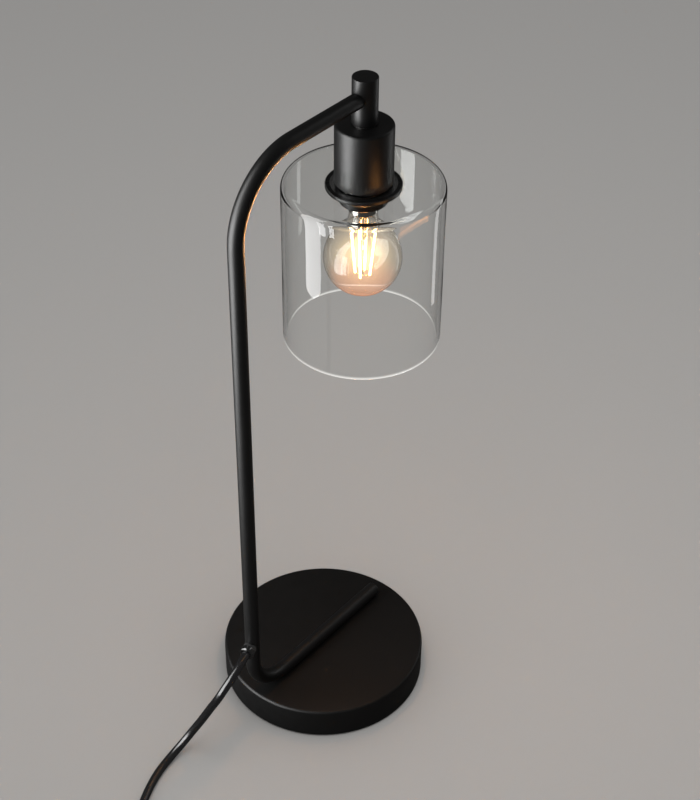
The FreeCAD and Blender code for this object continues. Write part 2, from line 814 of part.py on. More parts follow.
def build_head():
    """Stem on the arm's end, washer, nipple, lock nut and the cup over the lampholder."""
    x = "headOffset"
    stem = cylinder("stem_bar", "stemDiameter / 2", "stemHeight", x, "0", STEM_BOTTOM)
    doc.recompute()
    rounded = doc.addObject("Part::Fillet", "stem_rounded")
    rounded.Base = stem
    rim = [e for e in circle_edges(stem.Shape, size("stemDiameter") / 2, stem.Shape.BoundBox.ZMax)]
    rounded.Edges = [(int(name[4:]), size("stemEdgeRadius"), size("stemEdgeRadius")) for name in rim]
    socket = turn(
        cylinder(
            "stem_socket",
            "tubeDiameter / 2 + slipFit / 2",
            "tubeSocketDepth + 1",
            "headOffset - stemDiameter / 2 - 1",
            "0",
            "armHeight",
        ),
        (0, 1, 0),
        90,
    )
    across = turn(
        cylinder(
            "stem_cross_way",
            "wireWayDiameter / 2",
            "stemDiameter / 2 + wireWayDiameter / 2",
            "headOffset - stemDiameter / 2",
            "0",
            "armHeight",
        ),
        (0, 1, 0),
        90,
    )
    down = cylinder(
        "stem_wire_way", "wireWayDiameter / 2", "armHeight - " + STEM_BOTTOM, x, "0", STEM_BOTTOM
    )
    thread = cylinder(
        "stem_thread",
        "nippleDiameter / 2 + threadFit",
        "nippleInStem + 2 * slipFit",
        x,
        "0",
        STEM_BOTTOM + " - slipFit",
    )
    keep("stem", cut("stem", rounded, socket, across, down, thread))

    washer = cylinder("stem_washer_disc", "stemWasherDiameter / 2", "stemWasherThickness", x, "0", CUP_TOP)
    keep(
        "stem_washer",
        cut(
            "stem_washer",
            washer,
            cylinder(
                "stem_washer_bore",
                "nippleDiameter / 2 + slipFit",
                "3 * stemWasherThickness",
                x,
                "0",
                CUP_TOP + " - stemWasherThickness",
            ),
        ),
    )

    nipple = cylinder(
        "nipple_rod", "nippleDiameter / 2", "nippleLength", x, "0", NIPPLE_TOP + " - nippleLength"
    )
    keep(
        "threaded_nipple",
        cut(
            "threaded_nipple",
            nipple,
            cylinder(
                "nipple_bore",
                "nippleBore / 2",
                "nippleLength + 2",
                x,
                "0",
                NIPPLE_TOP + " - nippleLength - 1",
            ),
        ),
    )

    hexagon = doc.addObject("Part::Prism", "nut_hexagon")
    hexagon.Polygon = 6
    bind(hexagon, Circumradius="nutWidth / sqrt(3)", Height="nutThickness")
    place(hexagon, x, "0", CUP_TOP + " - cupWall - nutThickness")
    keep(
        "lock_nut",
        cut(
            "lock_nut",
            hexagon,
            cylinder(
                "nut_bore",
                "nippleDiameter / 2 + threadFit",
                "nutThickness + 2",
                x,
                "0",
                CUP_TOP + " - cupWall - nutThickness - 1",
            ),
        ),
    )

    cup = turned(
        "cup_cover",
        [
            ("nippleDiameter / 2 + slipFit", CUP_TOP + " - cupWall"),
            ("cupDiameter / 2 - cupWall", CUP_TOP + " - cupWall"),
            ("cupDiameter / 2 - cupWall", CUP_BOTTOM),
            ("cupDiameter / 2", CUP_BOTTOM),
            ("cupDiameter / 2", CUP_TOP),
            ("nippleDiameter / 2 + slipFit", CUP_TOP),
        ],
        [
            (size("cupDiameter") / 2, shade_top() + size("cupGap") + size("cupHeight"), "cupEdgeRadius"),
            (
                size("cupDiameter") / 2 - size("cupWall"),
                shade_top() + size("cupGap") + size("cupHeight") - size("cupWall"),
                "cupEdgeRadius - cupWall",
            ),
        ],
    )
    place(cup, x)


def build_lampholder():
    """Screw-cap lampholder: cap, body with skirt, brass shell, contacts and terminal screws."""
    top = HOLDER_TOP
    cap_top = HOLDER_TOP + " + holderCapHeight - holderCapSkirt"
    inside = "holderCapDiameter / 2 - holderCapWall"
    cap = turned(
        "holder_cap",
        [
            (inside, top + " - holderCapSkirt + holderCapLip"),
            ("holderCapDiameter / 2", top + " - holderCapSkirt + holderCapLip"),
            ("holderCapDiameter / 2", top + " + holderCapRise"),
            ("holderBossDiameter / 2 + holderCapCone", cap_top + " - holderBossHeight"),
            ("holderBossDiameter / 2", cap_top + " - holderBossHeight"),
            ("holderBossDiameter / 2", cap_top),
            ("nippleDiameter / 2 + threadFit", cap_top),
            ("nippleDiameter / 2 + threadFit", cap_top + " - holderBossHeight - holderCapWall"),
            (
                "holderBossDiameter / 2 + holderCapConeInside",
                cap_top + " - holderBossHeight - holderCapWall",
            ),
            (inside, top + " + holderCapRiseInside"),
        ],
    )
    place(cap, "headOffset")

    flange_top = "(armHeight - shadeDrop) + holderFlangeThickness"
    bore = "holderSkirtDiameter / 2 - holderSkirtWall"
    holder = turned(
        "holder_body_blank",
        [
            (bore, "(armHeight - shadeDrop) - holderSkirtLength"),
            ("holderSkirtDiameter / 2", "(armHeight - shadeDrop) - holderSkirtLength"),
            ("holderSkirtDiameter / 2", "(armHeight - shadeDrop)"),
            ("holderFlangeDiameter / 2", "(armHeight - shadeDrop)"),
            ("holderFlangeDiameter / 2", flange_top),
            ("holderBodyDiameter / 2", flange_top),
            ("holderBodyDiameter / 2", top + " - holderCapSkirt + holderCapLip - screwPlay"),
            (inside + " - slipFit", top + " - holderCapSkirt + holderCapLip - screwPlay"),
            (inside + " - slipFit", top),
            ("0", top),
            ("0", HOLDER_CEILING),
            (bore, HOLDER_CEILING),
        ],
        listed=False,
    )
    place(holder, "headOffset")
    slots = [
        block(
            "contact_slot",
            "contactThickness + 2 * contactPlay",
            "contactWidth + 2 * contactPlay",
            "holderTopHeight",
            "headOffset - contactPlay + contactOffset",
            "-contactWidth / 2 - contactPlay",
            HOLDER_CEILING + " - contactTail",
        ),
        block(
            "side_slot",
            "contactThickness + 2 * contactPlay",
            "contactWidth + 2 * contactPlay",
            "holderTopHeight",
            "headOffset - contactPlay - shellBore / 2 - shellWall - contactThickness - sideContactGap",
            "-contactWidth / 2 - contactPlay",
            HOLDER_CEILING + " - contactTail",
        ),
    ]
    taps = [
        cylinder(
            "terminal_tap_%d" % i,
            "terminalScrewDiameter / 2 + threadFit",
            "terminalScrewLength",
            "headOffset",
            y,
            top + " - terminalScrewLength + terminalRoot - screwPlay",
        )
        for i, y in ((1, "-terminalSpacing / 2"), (2, "terminalSpacing / 2"))
    ]
    keep("holder_body", cut("holder_body", holder, *slots, *taps))

    shell = cylinder(
        "shell_outer",
        "shellBore / 2 + shellWall",
        "shellLength",
        "headOffset",
        "0",
        HOLDER_CEILING + " - shellLength",
    )
    keep(
        "holder_shell",
        cut(
            "holder_shell",
            shell,
            cylinder(
                "shell_inner",
                "shellBore / 2",
                "shellLength + 2",
                "headOffset",
                "0",
                HOLDER_CEILING + " - shellLength - 1",
            ),
        ),
    )

    leaf = block(
        "contact_leaf",
        "contactLeafLength",
        "contactWidth",
        "contactThickness",
        "headOffset - contactOffset",
        "-contactWidth / 2",
        HOLDER_CEILING + " - contactThickness - leafDrop",
    )
    tail = block(
        "contact_tail",
        "contactThickness",
        "contactWidth",
        "holderTopHeight - holderCeiling + contactThickness + leafDrop",
        "headOffset + contactOffset",
        "-contactWidth / 2",
        HOLDER_CEILING + " - contactThickness - leafDrop",
    )
    side = block(
        "side_contact",
        "contactThickness",
        "contactWidth",
        "holderTopHeight - holderCeiling + sideContactReach",
        "headOffset - shellBore / 2 - shellWall - contactThickness - sideContactGap",
        "-contactWidth / 2",
        HOLDER_CEILING + " - sideContactReach",
    )
    group("holder_contacts", fuse("centre_contact", leaf, tail), side)

    screws = []
    for i, y in ((1, "-terminalSpacing / 2"), (2, "terminalSpacing / 2")):
        name = "terminal_screw_%d" % i
        shank = cylinder(
            name + "_shank",
            "terminalScrewDiameter / 2",
            "terminalScrewLength - terminalRoot",
            "headOffset",
            y,
            top + " - terminalScrewLength + terminalRoot",
        )
        head = cylinder(
            name + "_head",
            "terminalScrewDiameter / 2 + terminalHeadRim",
            "terminalHeadHeight",
            "headOffset",
            y,
            top,
        )
        slot = block(
            name + "_slot",
            "3 * terminalScrewDiameter",
            "terminalSlotWidth",
            "terminalSlotDepth",
            "headOffset - 1.5 * terminalScrewDiameter",
            y + " - terminalSlotWidth / 2",
            top + " + terminalHeadHeight - terminalSlotDepth",
        )
        screws.append(cut(name, fuse(name, head, shank), slot))
    group("terminal_screws", *screws)


def build_shade():
    """Blown glass cylinder, closed at the top round the lampholder, and the ring that clamps it."""
    bottom = "(armHeight - shadeDrop) - shadeHeight"
    half, wall = size("shadeDiameter") / 2, size("shadeWall")
    top, foot = shade_top(), shade_top() - size("shadeHeight")
    shade = turned(
        "glass_shade",
        [
            ("shadeHoleDiameter / 2", SHADE_UNDERSIDE),
            ("shadeDiameter / 2 - shadeWall", SHADE_UNDERSIDE),
            ("shadeDiameter / 2 - shadeWall", bottom),
            ("shadeDiameter / 2", bottom),
            ("shadeDiameter / 2", "(armHeight - shadeDrop)"),
            ("shadeHoleDiameter / 2", "(armHeight - shadeDrop)"),
        ],
        [
            (half, top, "shadeCornerRadius"),
            (half - wall, top - wall, "shadeCornerRadius - shadeWall"),
            (half, foot, "shadeRimRadius"),
            (half - wall, foot, "shadeRimRadius"),
        ],
    )
    place(shade, "headOffset")

    ring_top, ring_bottom = SHADE_UNDERSIDE, SHADE_UNDERSIDE + " - ringHeight"
    ledge = SHADE_UNDERSIDE + " - ringRimHeight"
    ring = turned(
        "shade_ring_blank",
        [
            ("ringBore / 2", ring_bottom),
            ("ringHubDiameter / 2", ring_bottom),
            ("ringHubDiameter / 2", ledge + " - ringFlangeThickness - ringUndercut"),
            ("ringDiameter / 2", ledge + " - ringFlangeThickness"),
            ("ringDiameter / 2", ring_top),
            ("ringDiameter / 2 - ringRimWidth", ring_top),
            ("ringDiameter / 2 - ringRimWidth - ringLedgeDraft", ledge),
            ("ringBore / 2", ledge),
        ],
        listed=False,
    )
    place(ring, "headOffset")
    grooves = []
    count = int(round(size("ringGripCount")))
    for i in range(count):
        angle = "(360 * %d / ringGripCount) * 1deg" % i
        grooves.append(
            cylinder(
                "ring_groove_%d" % (i + 1), "ringGripDepth",
                "ringHeight - ringRimHeight - ringFlangeThickness - ringGripEnd",
                "headOffset + (ringHubDiameter / 2 + ringGripDepth / 3) * cos(%s)" % angle,
                "(ringHubDiameter / 2 + ringGripDepth / 3) * sin(%s)" % angle,
                ring_bottom + " - ringGripDepth",
            )
        )
    cutters = doc.addObject("Part::Compound", "ring_grooves")
    cutters.Links = grooves
    keep("shade_ring", cut("shade_ring", ring, cutters))


def neck_fillet(name, solid, radius):
    """Round the circle where a neck leaves the bulb's ball."""
    doc.recompute()
    fillet = doc.addObject("Part::Fillet", name)
    fillet.Base = solid
    shape = solid.Shape
    edges = [
        i for i, edge in enumerate(shape.Edges, start=1)
        if not edge.Degenerated
        and isinstance(edge.Curve, Part.Circle)
        and abs(edge.Curve.Axis.z) > 0.99
        and edge.Curve.Center.z < shape.BoundBox.ZMax - 1
        and edge.Length > 3 * radius
    ]
    fillet.Edges = [(i, radius, radius) for i in edges]
    return fillet


def build_bulb():
    """Clear ball bulb with a small screw cap, a glass stem and four straight filaments."""
    x = "headOffset"
    centre = BULB_BOTTOM + " + bulbDiameter / 2"
    neck_top = BULB_TOP + " - bulbCapHeight + bulbCapRimHeight"
    balls = []
    for name, inset in (("bulb_outer", "0"), ("bulb_inner", "bulbWall")):
        ball = doc.addObject("Part::Sphere", name + "_ball")
        place(bind(ball, Radius="bulbDiameter / 2 - " + inset), x, "0", centre)
        extra = "0" if inset == "0" else "1"
        neck = cylinder(
            name + "_neck",
            "bulbNeckDiameter / 2 - " + inset,
            neck_top + " + " + extra + " - (" + centre + ")",
            x,
            "0",
            centre,
        )
        joined = fuse(name, ball, neck)
        radius = size("bulbNeckRadius") + (0 if inset == "0" else size("bulbWall"))
        balls.append(neck_fillet(name + "_blend", joined, radius))
    keep("bulb_glass", cut("bulb_glass", *balls))

    rim = BULB_TOP + " - bulbCapHeight"
    shoulder = BULB_TOP + " - bulbContactHeight / 2 - bulbInsulatorHeight"
    cap = turned(
        "bulb_cap",
        [
            ("bulbNeckDiameter / 2 + threadFit", rim),
            ("bulbCapRim / 2", rim),
            ("bulbCapRim / 2", rim + " + bulbCapRimHeight"),
            ("bulbThreadDiameter / 2", rim + " + bulbCapRimHeight + bulbCapRimDraft"),
            ("bulbThreadDiameter / 2", shoulder + " - bulbCapShoulder"),
            ("bulbInsulatorDiameter / 2", shoulder),
            ("bulbInsulatorDiameter / 2 - 2 * bulbCapWall", shoulder + " - bulbCapWall"),
            ("bulbThreadDiameter / 2 - bulbCapWall", shoulder + " - bulbCapShoulder - bulbCapWall"),
            (
                "bulbThreadDiameter / 2 - bulbCapWall",
                rim + " + bulbCapRimHeight + bulbCapRimDraft - bulbCapWall / 3",
            ),
            ("bulbNeckDiameter / 2 + threadFit", rim + " + bulbCapRimHeight + bulbCapWall / 3"),
        ],
    )
    place(cap, x)
    insulator = turned(
        "bulb_insulator",
        [
            ("0", shoulder + " - bulbInsulatorRoot"),
            ("bulbInsulatorDiameter / 2 - bulbInsulatorSeat", shoulder + " - bulbInsulatorRoot"),
            ("bulbInsulatorDiameter / 2 - bulbInsulatorSeat", shoulder),
            ("bulbInsulatorDiameter / 2", shoulder),
            (
                "bulbContactDiameter / 2 + bulbContactSeat",
                shoulder + " + bulbInsulatorHeight - bulbContactSeat",
            ),
            ("0", shoulder + " + bulbInsulatorHeight - bulbContactSeat"),
        ],
    )
    place(insulator, x)
    contact = turned(
        "bulb_contact",
        [
            ("0", BULB_TOP + " - bulbContactHeight / 2 - bulbContactSeat"),
            ("bulbContactDiameter / 2", BULB_TOP + " - bulbContactHeight / 2 - bulbContactSeat"),
            ("bulbContactDiameter / 2", BULB_TOP + " - bulbContactHeight / 2"),
            ("bulbContactDiameter / 2 - bulbContactDraft", BULB_TOP),
            ("0", BULB_TOP),
        ],
    )
    place(contact, x)

    flare_top = neck_top + " - bulbStemGap"
    stem = turned(
        "bulb_stem",
        [
            ("0", flare_top + " - bulbStemLength"),
            ("bulbStemDiameter / 2 - bulbStemTipDraft", flare_top + " - bulbStemLength"),
            ("bulbStemDiameter / 2", flare_top + " - bulbStemLength + bulbStemTaper"),
            ("bulbStemDiameter / 2", flare_top + " - bulbFlareStart"),
            ("bulbNeckDiameter / 2 - bulbWall - bulbFlareGap", flare_top + " - bulbFlareRim"),
            ("bulbNeckDiameter / 2 - bulbWall - bulbFlareGap", flare_top),
            ("0", flare_top),
        ],
    )
    place(stem, x)
    build_filaments()


def build_filaments():
    """Four straight filaments, wider apart at the top, and the wires that carry them."""
    head, count = size("headOffset"), int(round(size("filamentCount")))
    top = shade_top() + size("holderCeiling") - size("contactThickness") - size("leafDrop") - size("leafGap")
    low = top - size("bulbLength") + size("filamentDrop")
    wide, narrow = size("filamentTopRadius"), size("filamentBottomRadius")
    rise = math.sqrt(size("filamentLength") ** 2 - (wide - narrow) ** 2)
    stem_end = top - size("bulbCapHeight") + size("bulbCapRimHeight")
    stem_end -= size("bulbStemGap") + size("bulbStemLength")
    post, drop = size("bulbStemDiameter") / 2 + size("supportGap"), size("supportDrop")
    rods, wires = [], []

    def rod(a, b, diameter):
        return Part.makeCylinder(diameter / 2, b.sub(a).Length, a, b.sub(a))

    for i in range(count):
        angle = 2 * math.pi * (i + 0.5) / count
        c, s = math.cos(angle), math.sin(angle)
        lower = vec(head + narrow * c, narrow * s, low)
        upper = vec(head + wide * c, wide * s, low + rise)
        rods.append(rod(lower, upper, size("filamentDiameter")))
        hub = vec(head + post * c, post * s, low + rise + size("supportRise"))
        wires.append(rod(upper, hub, size("supportWire")))
        wires.append(rod(lower, vec(head, 0, low - drop), size("supportWire")))
    spine = rod(vec(head, 0, low - drop), vec(head, 0, stem_end - size("supportPlay")), size("supportWire"))
    keep("filaments", feature("filaments", Part.makeCompound(rods)))
    trimmed = [w.cut(Part.makeCompound(rods)) for w in wires[0::2]]
    spider = spine.multiFuse([w for w in wires[1::2]]).cut(Part.makeCompound(rods))
    keep(
        "filament_wires",
        feature("filament_wires", Part.makeCompound(solids_of(trimmed) + solids_of([spider]))),
    )


def solids_of(shapes):
    return [solid for shape in shapes for solid in shape.Solids if solid.Volume > 0.01]


def rounded_path(points, label):
    """Straight runs joined by tangent arcs, each arc as large as its two runs allow."""
    edges, start, least = [], points[0], None
    for before, corner, after in zip(points, points[1:], points[2:]):
        back, on = before.sub(corner), after.sub(corner)
        turn_angle = math.pi - back.getAngle(on)
        reach = 0.45 * min(back.Length, on.Length)
        radius = reach / math.tan(turn_angle / 2)
        least = radius if least is None else min(least, radius)
        back.normalize()
        on.normalize()
        first, last = corner + back * reach, corner + on * reach
        middle_way = back + on
        middle_way.normalize()
        apex = corner + middle_way * (radius / math.cos(turn_angle / 2) - radius)
        edges.append(Part.LineSegment(start, first).toShape())
        edges.append(Part.Arc(first, apex, last).toShape())
        start = last
    edges.append(Part.LineSegment(start, points[-1]).toShape())
    wire = Part.Wire(edges)
    print("%s: length %.1f mm, tightest arc %.1f mm" % (label, wire.Length, least))
    return wire


def swept(wire, diameter):
    """A round solid along a path, its volume compared with section times length."""
    first = wire.Edges[0]
    start = first.valueAt(first.FirstParameter)
    heading = first.tangentAt(first.FirstParameter)
    ring = Part.Wire([Part.Circle(start, heading, diameter / 2).toShape()])
    solid = wire.makePipeShell([ring], True, False)
    wanted = math.pi * diameter**2 / 4 * wire.Length
    print("  volume %.0f of %.0f mm3" % (solid.Volume, wanted))
    return solid


def build_wires():
    """Two insulated wires from the gland up the post, along the arm and down to the lampholder."""
    post, head, arm = -post_offset(), size("headOffset"), size("armHeight")
    bend, high = size("wireBend"), size("armBendRadius")
    low = size("glandHeight")
    bottom = shade_top() + size("holderTopHeight") + size("slipFit")
    half = math.sqrt(0.5)
    wires = []
    for side in (-0.5, 0.5):
        y = side * size("wireSpacing")
        edges = [
            Part.LineSegment(vec(post, y, low), vec(post, y, arm - high)).toShape(),
            Part.Arc(
                vec(post, y, arm - high),
                vec(post + high * (1 - half), y, arm - high * (1 - half)),
                vec(post + high, y, arm),
            ).toShape(),
            Part.LineSegment(vec(post + high, y, arm), vec(head - bend, y, arm)).toShape(),
            Part.Arc(
                vec(head - bend, y, arm),
                vec(head - bend * (1 - half), y, arm - bend * (1 - half)),
                vec(head, y, arm - bend),
            ).toShape(),
            Part.LineSegment(vec(head, y, arm - bend), vec(head, y, bottom)).toShape(),
        ]
        wires.append(swept(Part.Wire(edges), size("wireDiameter")))
    keep("inner_wires", feature("inner_wires", Part.makeCompound(wires)))


# Route of the mains cord, from the post's foot on the table. Its first point is set by the gland
# and its last one by the switch.
CORD_ROUTE = [
    (-15.3, -5.0, 72.0),
    (-23.2, -6.3, 68.9),
    (-30.0, -5.6, 63.4),
    (-35.4, -2.8, 53.9),
    (-35.8, 3.8, 41.1),
    (-38.4, 9.3, 28.6),
    (-41.8, 14.8, 17.1),
    (-47.9, 18.2, 8.3),
    (-58.0, 19.6, 3.1),
    (-71.0, 17.6, 2.6),
    (-85.0, 12.6, 2.6),
    (-99.0, 5.6, 2.6),
    (-111.5, 0.2, 3.2),
    (-120.0, -2.0, 6.5),
]
SWITCH_AT = (-159.0, -2.0)
COIL_AT = (-215.0, -43.2)
SWITCH_LEAD = (8.2, 16.6)  # where the lead leaves the switch's level and meets the table
PLUG_LEAD = (9.0, 20.0, 28.0)  # where the lead leaves the coil, rises to the plug and ends


def from_post(x, y, z=0.0):
    return vec(x - post_offset(), y, z)


def gland_exit():
    reach = size("tubeDiameter") / 2 + size("glandWasherLength") + size("glandCollarLength")
    reach -= size("glandCordStart")
    x, y, _ = gland_direction()
    return vec(-post_offset() + reach * x, reach * y, size("glandHeight"))


def coil_path():
    """Two layers of half turns: inwards on the table, a half turn that climbs, outwards on top."""
    halves, step = int(round(size("coilHalfTurns"))), size("coilPitch") / 2
    low, high = size("cordDiameter") / 2, size("cordDiameter") / 2 + size("coilLayerStep")
    outer = size("coilRadius") + halves * step
    reaches = [(outer - step * k, low) for k in range(halves + 1)]
    reaches.append((size("coilRadius") - size("coilClimbStep"), high))
    reaches += [(size("coilRadius") + step * (k + 1), high) for k in range(1, halves - 1)]
    side, ends = 1, []
    for reach, level in reaches:
        ends.append(from_post(COIL_AT[0], COIL_AT[1] + side * reach, level))
        side = -side
    edges, way = [], -1
    for a, b in zip(ends, ends[1:]):
        middle = (a + b) * 0.5
        bulge = a.distanceToPoint(b) / 2
        edges.append(Part.Arc(a, middle + vec(way * bulge, 0, 0), b).toShape())
        way = -way
    return Part.Wire(edges), ends[0], ends[-1]


def least_gap(wire, diameter):
    """Smallest clear gap between turns, from points along the centre line."""
    points = wire.discretize(Number=700)
    apart = wire.Length / len(points)
    skip = int(4 * diameter / apart) + 1
    near = min(
        points[i].distanceToPoint(points[k])
        for i in range(len(points))
        for k in range(i + skip, len(points))
    )
    return near - diameter


def build_cords():
    """Free cord to the switch, the lead on to the coil, the coil, and the lead to the plug."""
    cord, half = size("cordDiameter"), size("switchLength") / 2
    x, y, _ = from_post(*SWITCH_AT)
    level = size("switchCordHeight")
    points = [gland_exit()] + [from_post(*p) for p in CORD_ROUTE]
    points.append(vec(x + half, y, level))
    keep("mains_cord", feature("mains_cord", swept(rounded_path(points, "mains_cord"), cord)))

    coil, start, end = coil_path()
    points = [
        vec(x - half, y, level),
        vec(x - half - SWITCH_LEAD[0], y, level),
        vec(x - half - SWITCH_LEAD[1], y, cord / 2),
        start,
    ]
    keep("switch_lead", feature("switch_lead", swept(rounded_path(points, "switch_lead"), cord)))

    print("cord_coil: length %.1f mm, least gap %.2f mm" % (coil.Length, least_gap(coil, cord)))
    keep("cord_coil", feature("cord_coil", swept(coil, cord)))

    level = size("plugThickness") / 2
    points = [end, end + vec(PLUG_LEAD[0], 0, 0)]
    points += [vec(end.x + along, end.y, level) for along in PLUG_LEAD[1:]]
    keep("plug_lead", feature("plug_lead", swept(rounded_path(points, "plug_lead"), cord)))
    return points[-1]


def rounded_box(name, length, width, height, x, y, z, corner, top=None):
    """A block with round upright corners and, where top is given, a round top or bottom edge."""
    solid = block(name + "_block", length, width, height, x, y, z)
    doc.recompute()
    soft = doc.addObject("Part::Fillet", name + "_corners")
    soft.Base = solid
    upright = [
        i for i, edge in enumerate(solid.Shape.Edges, start=1)
        if abs(edge.tangentAt(edge.FirstParameter).z) > 0.99
    ]
    soft.Edges = [(i, corner, corner) for i in upright]
    if top is None:
        return soft
    doc.recompute()
    level, radius = top
    rim = doc.addObject("Part::Fillet", name + "_rim")
    rim.Base = soft
    box = soft.Shape.BoundBox
    height_of_rim = box.ZMax if level == "top" else box.ZMin
    around = [
        i for i, edge in enumerate(soft.Shape.Edges, start=1)
        if abs(edge.BoundBox.ZMin - height_of_rim) < 0.01 and abs(edge.BoundBox.ZMax - height_of_rim) < 0.01
    ]
    rim.Edges = [(i, radius, radius) for i in around]
    return rim


def build_switch():
    """In-line switch: two shells screwed together round a rocker on a pivot pin."""
    cx, cy = "(%s - %s)" % (SWITCH_AT[0], POST_OFFSET), "(%s)" % SWITCH_AT[1]
    wall, radius = size("switchWall"), size("switchCornerRadius")
    left, side = cx + " - switchLength / 2", cy + " - switchWidth / 2"
    inner_left, inner_side = left + " + switchWall", side + " + switchWall"
    inner_length, inner_width = "switchLength - 2 * switchWall", "switchWidth - 2 * switchWall"
    lower = rounded_box(
        "switch_lower",
        "switchLength",
        "switchWidth",
        "switchCordHeight",
        left,
        side,
        "0",
        radius,
        ("bottom", size("switchEdgeRadius")),
    )
    lower_room = rounded_box(
        "switch_lower_room",
        inner_length,
        inner_width,
        "switchCordHeight",
        inner_left,
        inner_side,
        "switchWall",
        radius - wall,
    )
    upper = rounded_box(
        "switch_upper",
        "switchLength",
        "switchWidth",
        "switchHeight - switchCordHeight",
        left,
        side,
        "switchCordHeight",
        radius,
        ("top", size("switchTopRadius")),
    )
    upper_room = rounded_box(
        "switch_upper_room",
        inner_length,
        inner_width,
        "switchHeight - switchCordHeight",
        inner_left,
        inner_side,
        "switchCordHeight - switchWall",
        radius - wall,
        ("top", size("switchTopRadius") - wall),
    )
    lower_bosses, upper_bosses, bores, screws, heads = [], [], [], [], []
    for end, x in (("back", cx + " - switchScrewSpacing / 2"), ("front", cx + " + switchScrewSpacing / 2")):
        lower_bosses.append(
            cylinder(
                "lower_boss_" + end,
                "switchScrewDiameter + switchBossWall",
                "switchCordHeight - switchBossFoot",
                x,
                cy,
                "switchBossFoot",
            )
        )
        upper_bosses.append(
            cylinder(
                "upper_boss_" + end,
                "switchScrewDiameter + switchBossWallAbove",
                "switchHeight - switchCordHeight - switchBossFoot",
                x,
                cy,
                "switchCordHeight",
            )
        )
        bores.append(
            cylinder(
                "screw_bore_" + end,
                "switchScrewDiameter / 2 + threadFit",
                "switchHeight - switchBoreShort + switchBossFoot",
                x,
                cy,
                "-switchBossFoot",
            )
        )
        heads.append(
            cylinder(
                "screw_seat_" + end,
                "switchScrewDiameter",
                "switchScrewSeat + switchBossFoot",
                x,
                cy,
                "-switchBossFoot",
            )
        )
        name = "switch_screw_" + end
        shank = cylinder(
            name + "_shank",
            "switchScrewDiameter / 2",
            "switchHeight - switchScrewShort",
            x,
            cy,
            "switchScrewSeat",
        )
        head = cylinder(
            name + "_head",
            "switchScrewDiameter - 2 * switchScrewHeadPlay",
            "switchScrewHeadHeight",
            x,
            cy,
            "switchScrewSeat - switchScrewHeadHeight",
        )
        slot = block(
            name + "_slot",
            "2 * switchScrewDiameter",
            "switchScrewSlot",
            "switchScrewSlot",
            x + " - switchScrewDiameter",
            cy + " - switchScrewSlot / 2",
            "switchScrewSeat - switchScrewHeadHeight",
        )
        screws.append(cut(name, fuse(name, head, shank), slot))
    keep(
        "switch_lower_shell",
        cut(
            "switch_lower_shell",
            fuse("switch_lower_shell", cut("switch_lower_tray", lower, lower_room), *lower_bosses),
            *bores,
            *heads,
        ),
    )

    pivot = "(switchHeight - rockerPivotDrop)"
    rib = "(rockerWidth / 2 + rockerPlay)"
    ribs = [
        block(
            "rocker_rib_left",
            "rockerRibLength",
            "rockerRibWidth",
            "rockerRibHeight",
            cx + " - rockerRibLength / 2",
            cy + " - " + rib + " - rockerRibWidth",
            pivot + " - rockerRibBelow",
        ),
        block(
            "rocker_rib_right",
            "rockerRibLength",
            "rockerRibWidth",
            "rockerRibHeight",
            cx + " - rockerRibLength / 2",
            cy + " + " + rib,
            pivot + " - rockerRibBelow",
        ),
    ]
    window = block(
        "rocker_window",
        "rockerLength + 2 * rockerPlay",
        "rockerWidth + 2 * rockerPlay",
        "switchHeight",
        cx + " - rockerLength / 2 - rockerPlay",
        cy + " - " + rib,
        "switchCordHeight",
    )
    axle_hole = turn(
        cylinder(
            "rocker_axle_hole",
            "rockerPinDiameter / 2 + threadFit",
            "2 * (rockerWidth / 2 + rockerPlay + rockerRibWidth)",
            cx,
            cy + " + " + rib + " + rockerRibWidth",
            pivot,
        ),
        (1, 0, 0),
        90,
    )
    shell = fuse("switch_upper_shell", cut("switch_upper_lid", upper, upper_room), *upper_bosses, *ribs)
    upper_bores = [
        cylinder(
            "upper_bore_" + end,
            "switchScrewDiameter / 2 + threadFit",
            "switchHeight - switchCordHeight - switchBoreShort + switchBossFoot",
            cx + sign + "switchScrewSpacing / 2",
            cy,
            "switchCordHeight - switchBossFoot",
        )
        for end, sign in (("back", " - "), ("front", " + "))
    ]
    keep("switch_upper_shell", cut("switch_upper_shell", shell, window, axle_hole, *upper_bores))
    group("switch_screws", *screws)
    pin = turn(
        cylinder(
            "rocker_pin_rod",
            "rockerPinDiameter / 2",
            "2 * (rockerWidth / 2 + rockerPlay + rockerRibWidth - rockerPinEnd)",
            cx,
            cy + " + " + rib + " + rockerRibWidth - rockerPinEnd",
            pivot,
        ),
        (1, 0, 0),
        90,
    )
    keep("rocker_pin", pin)

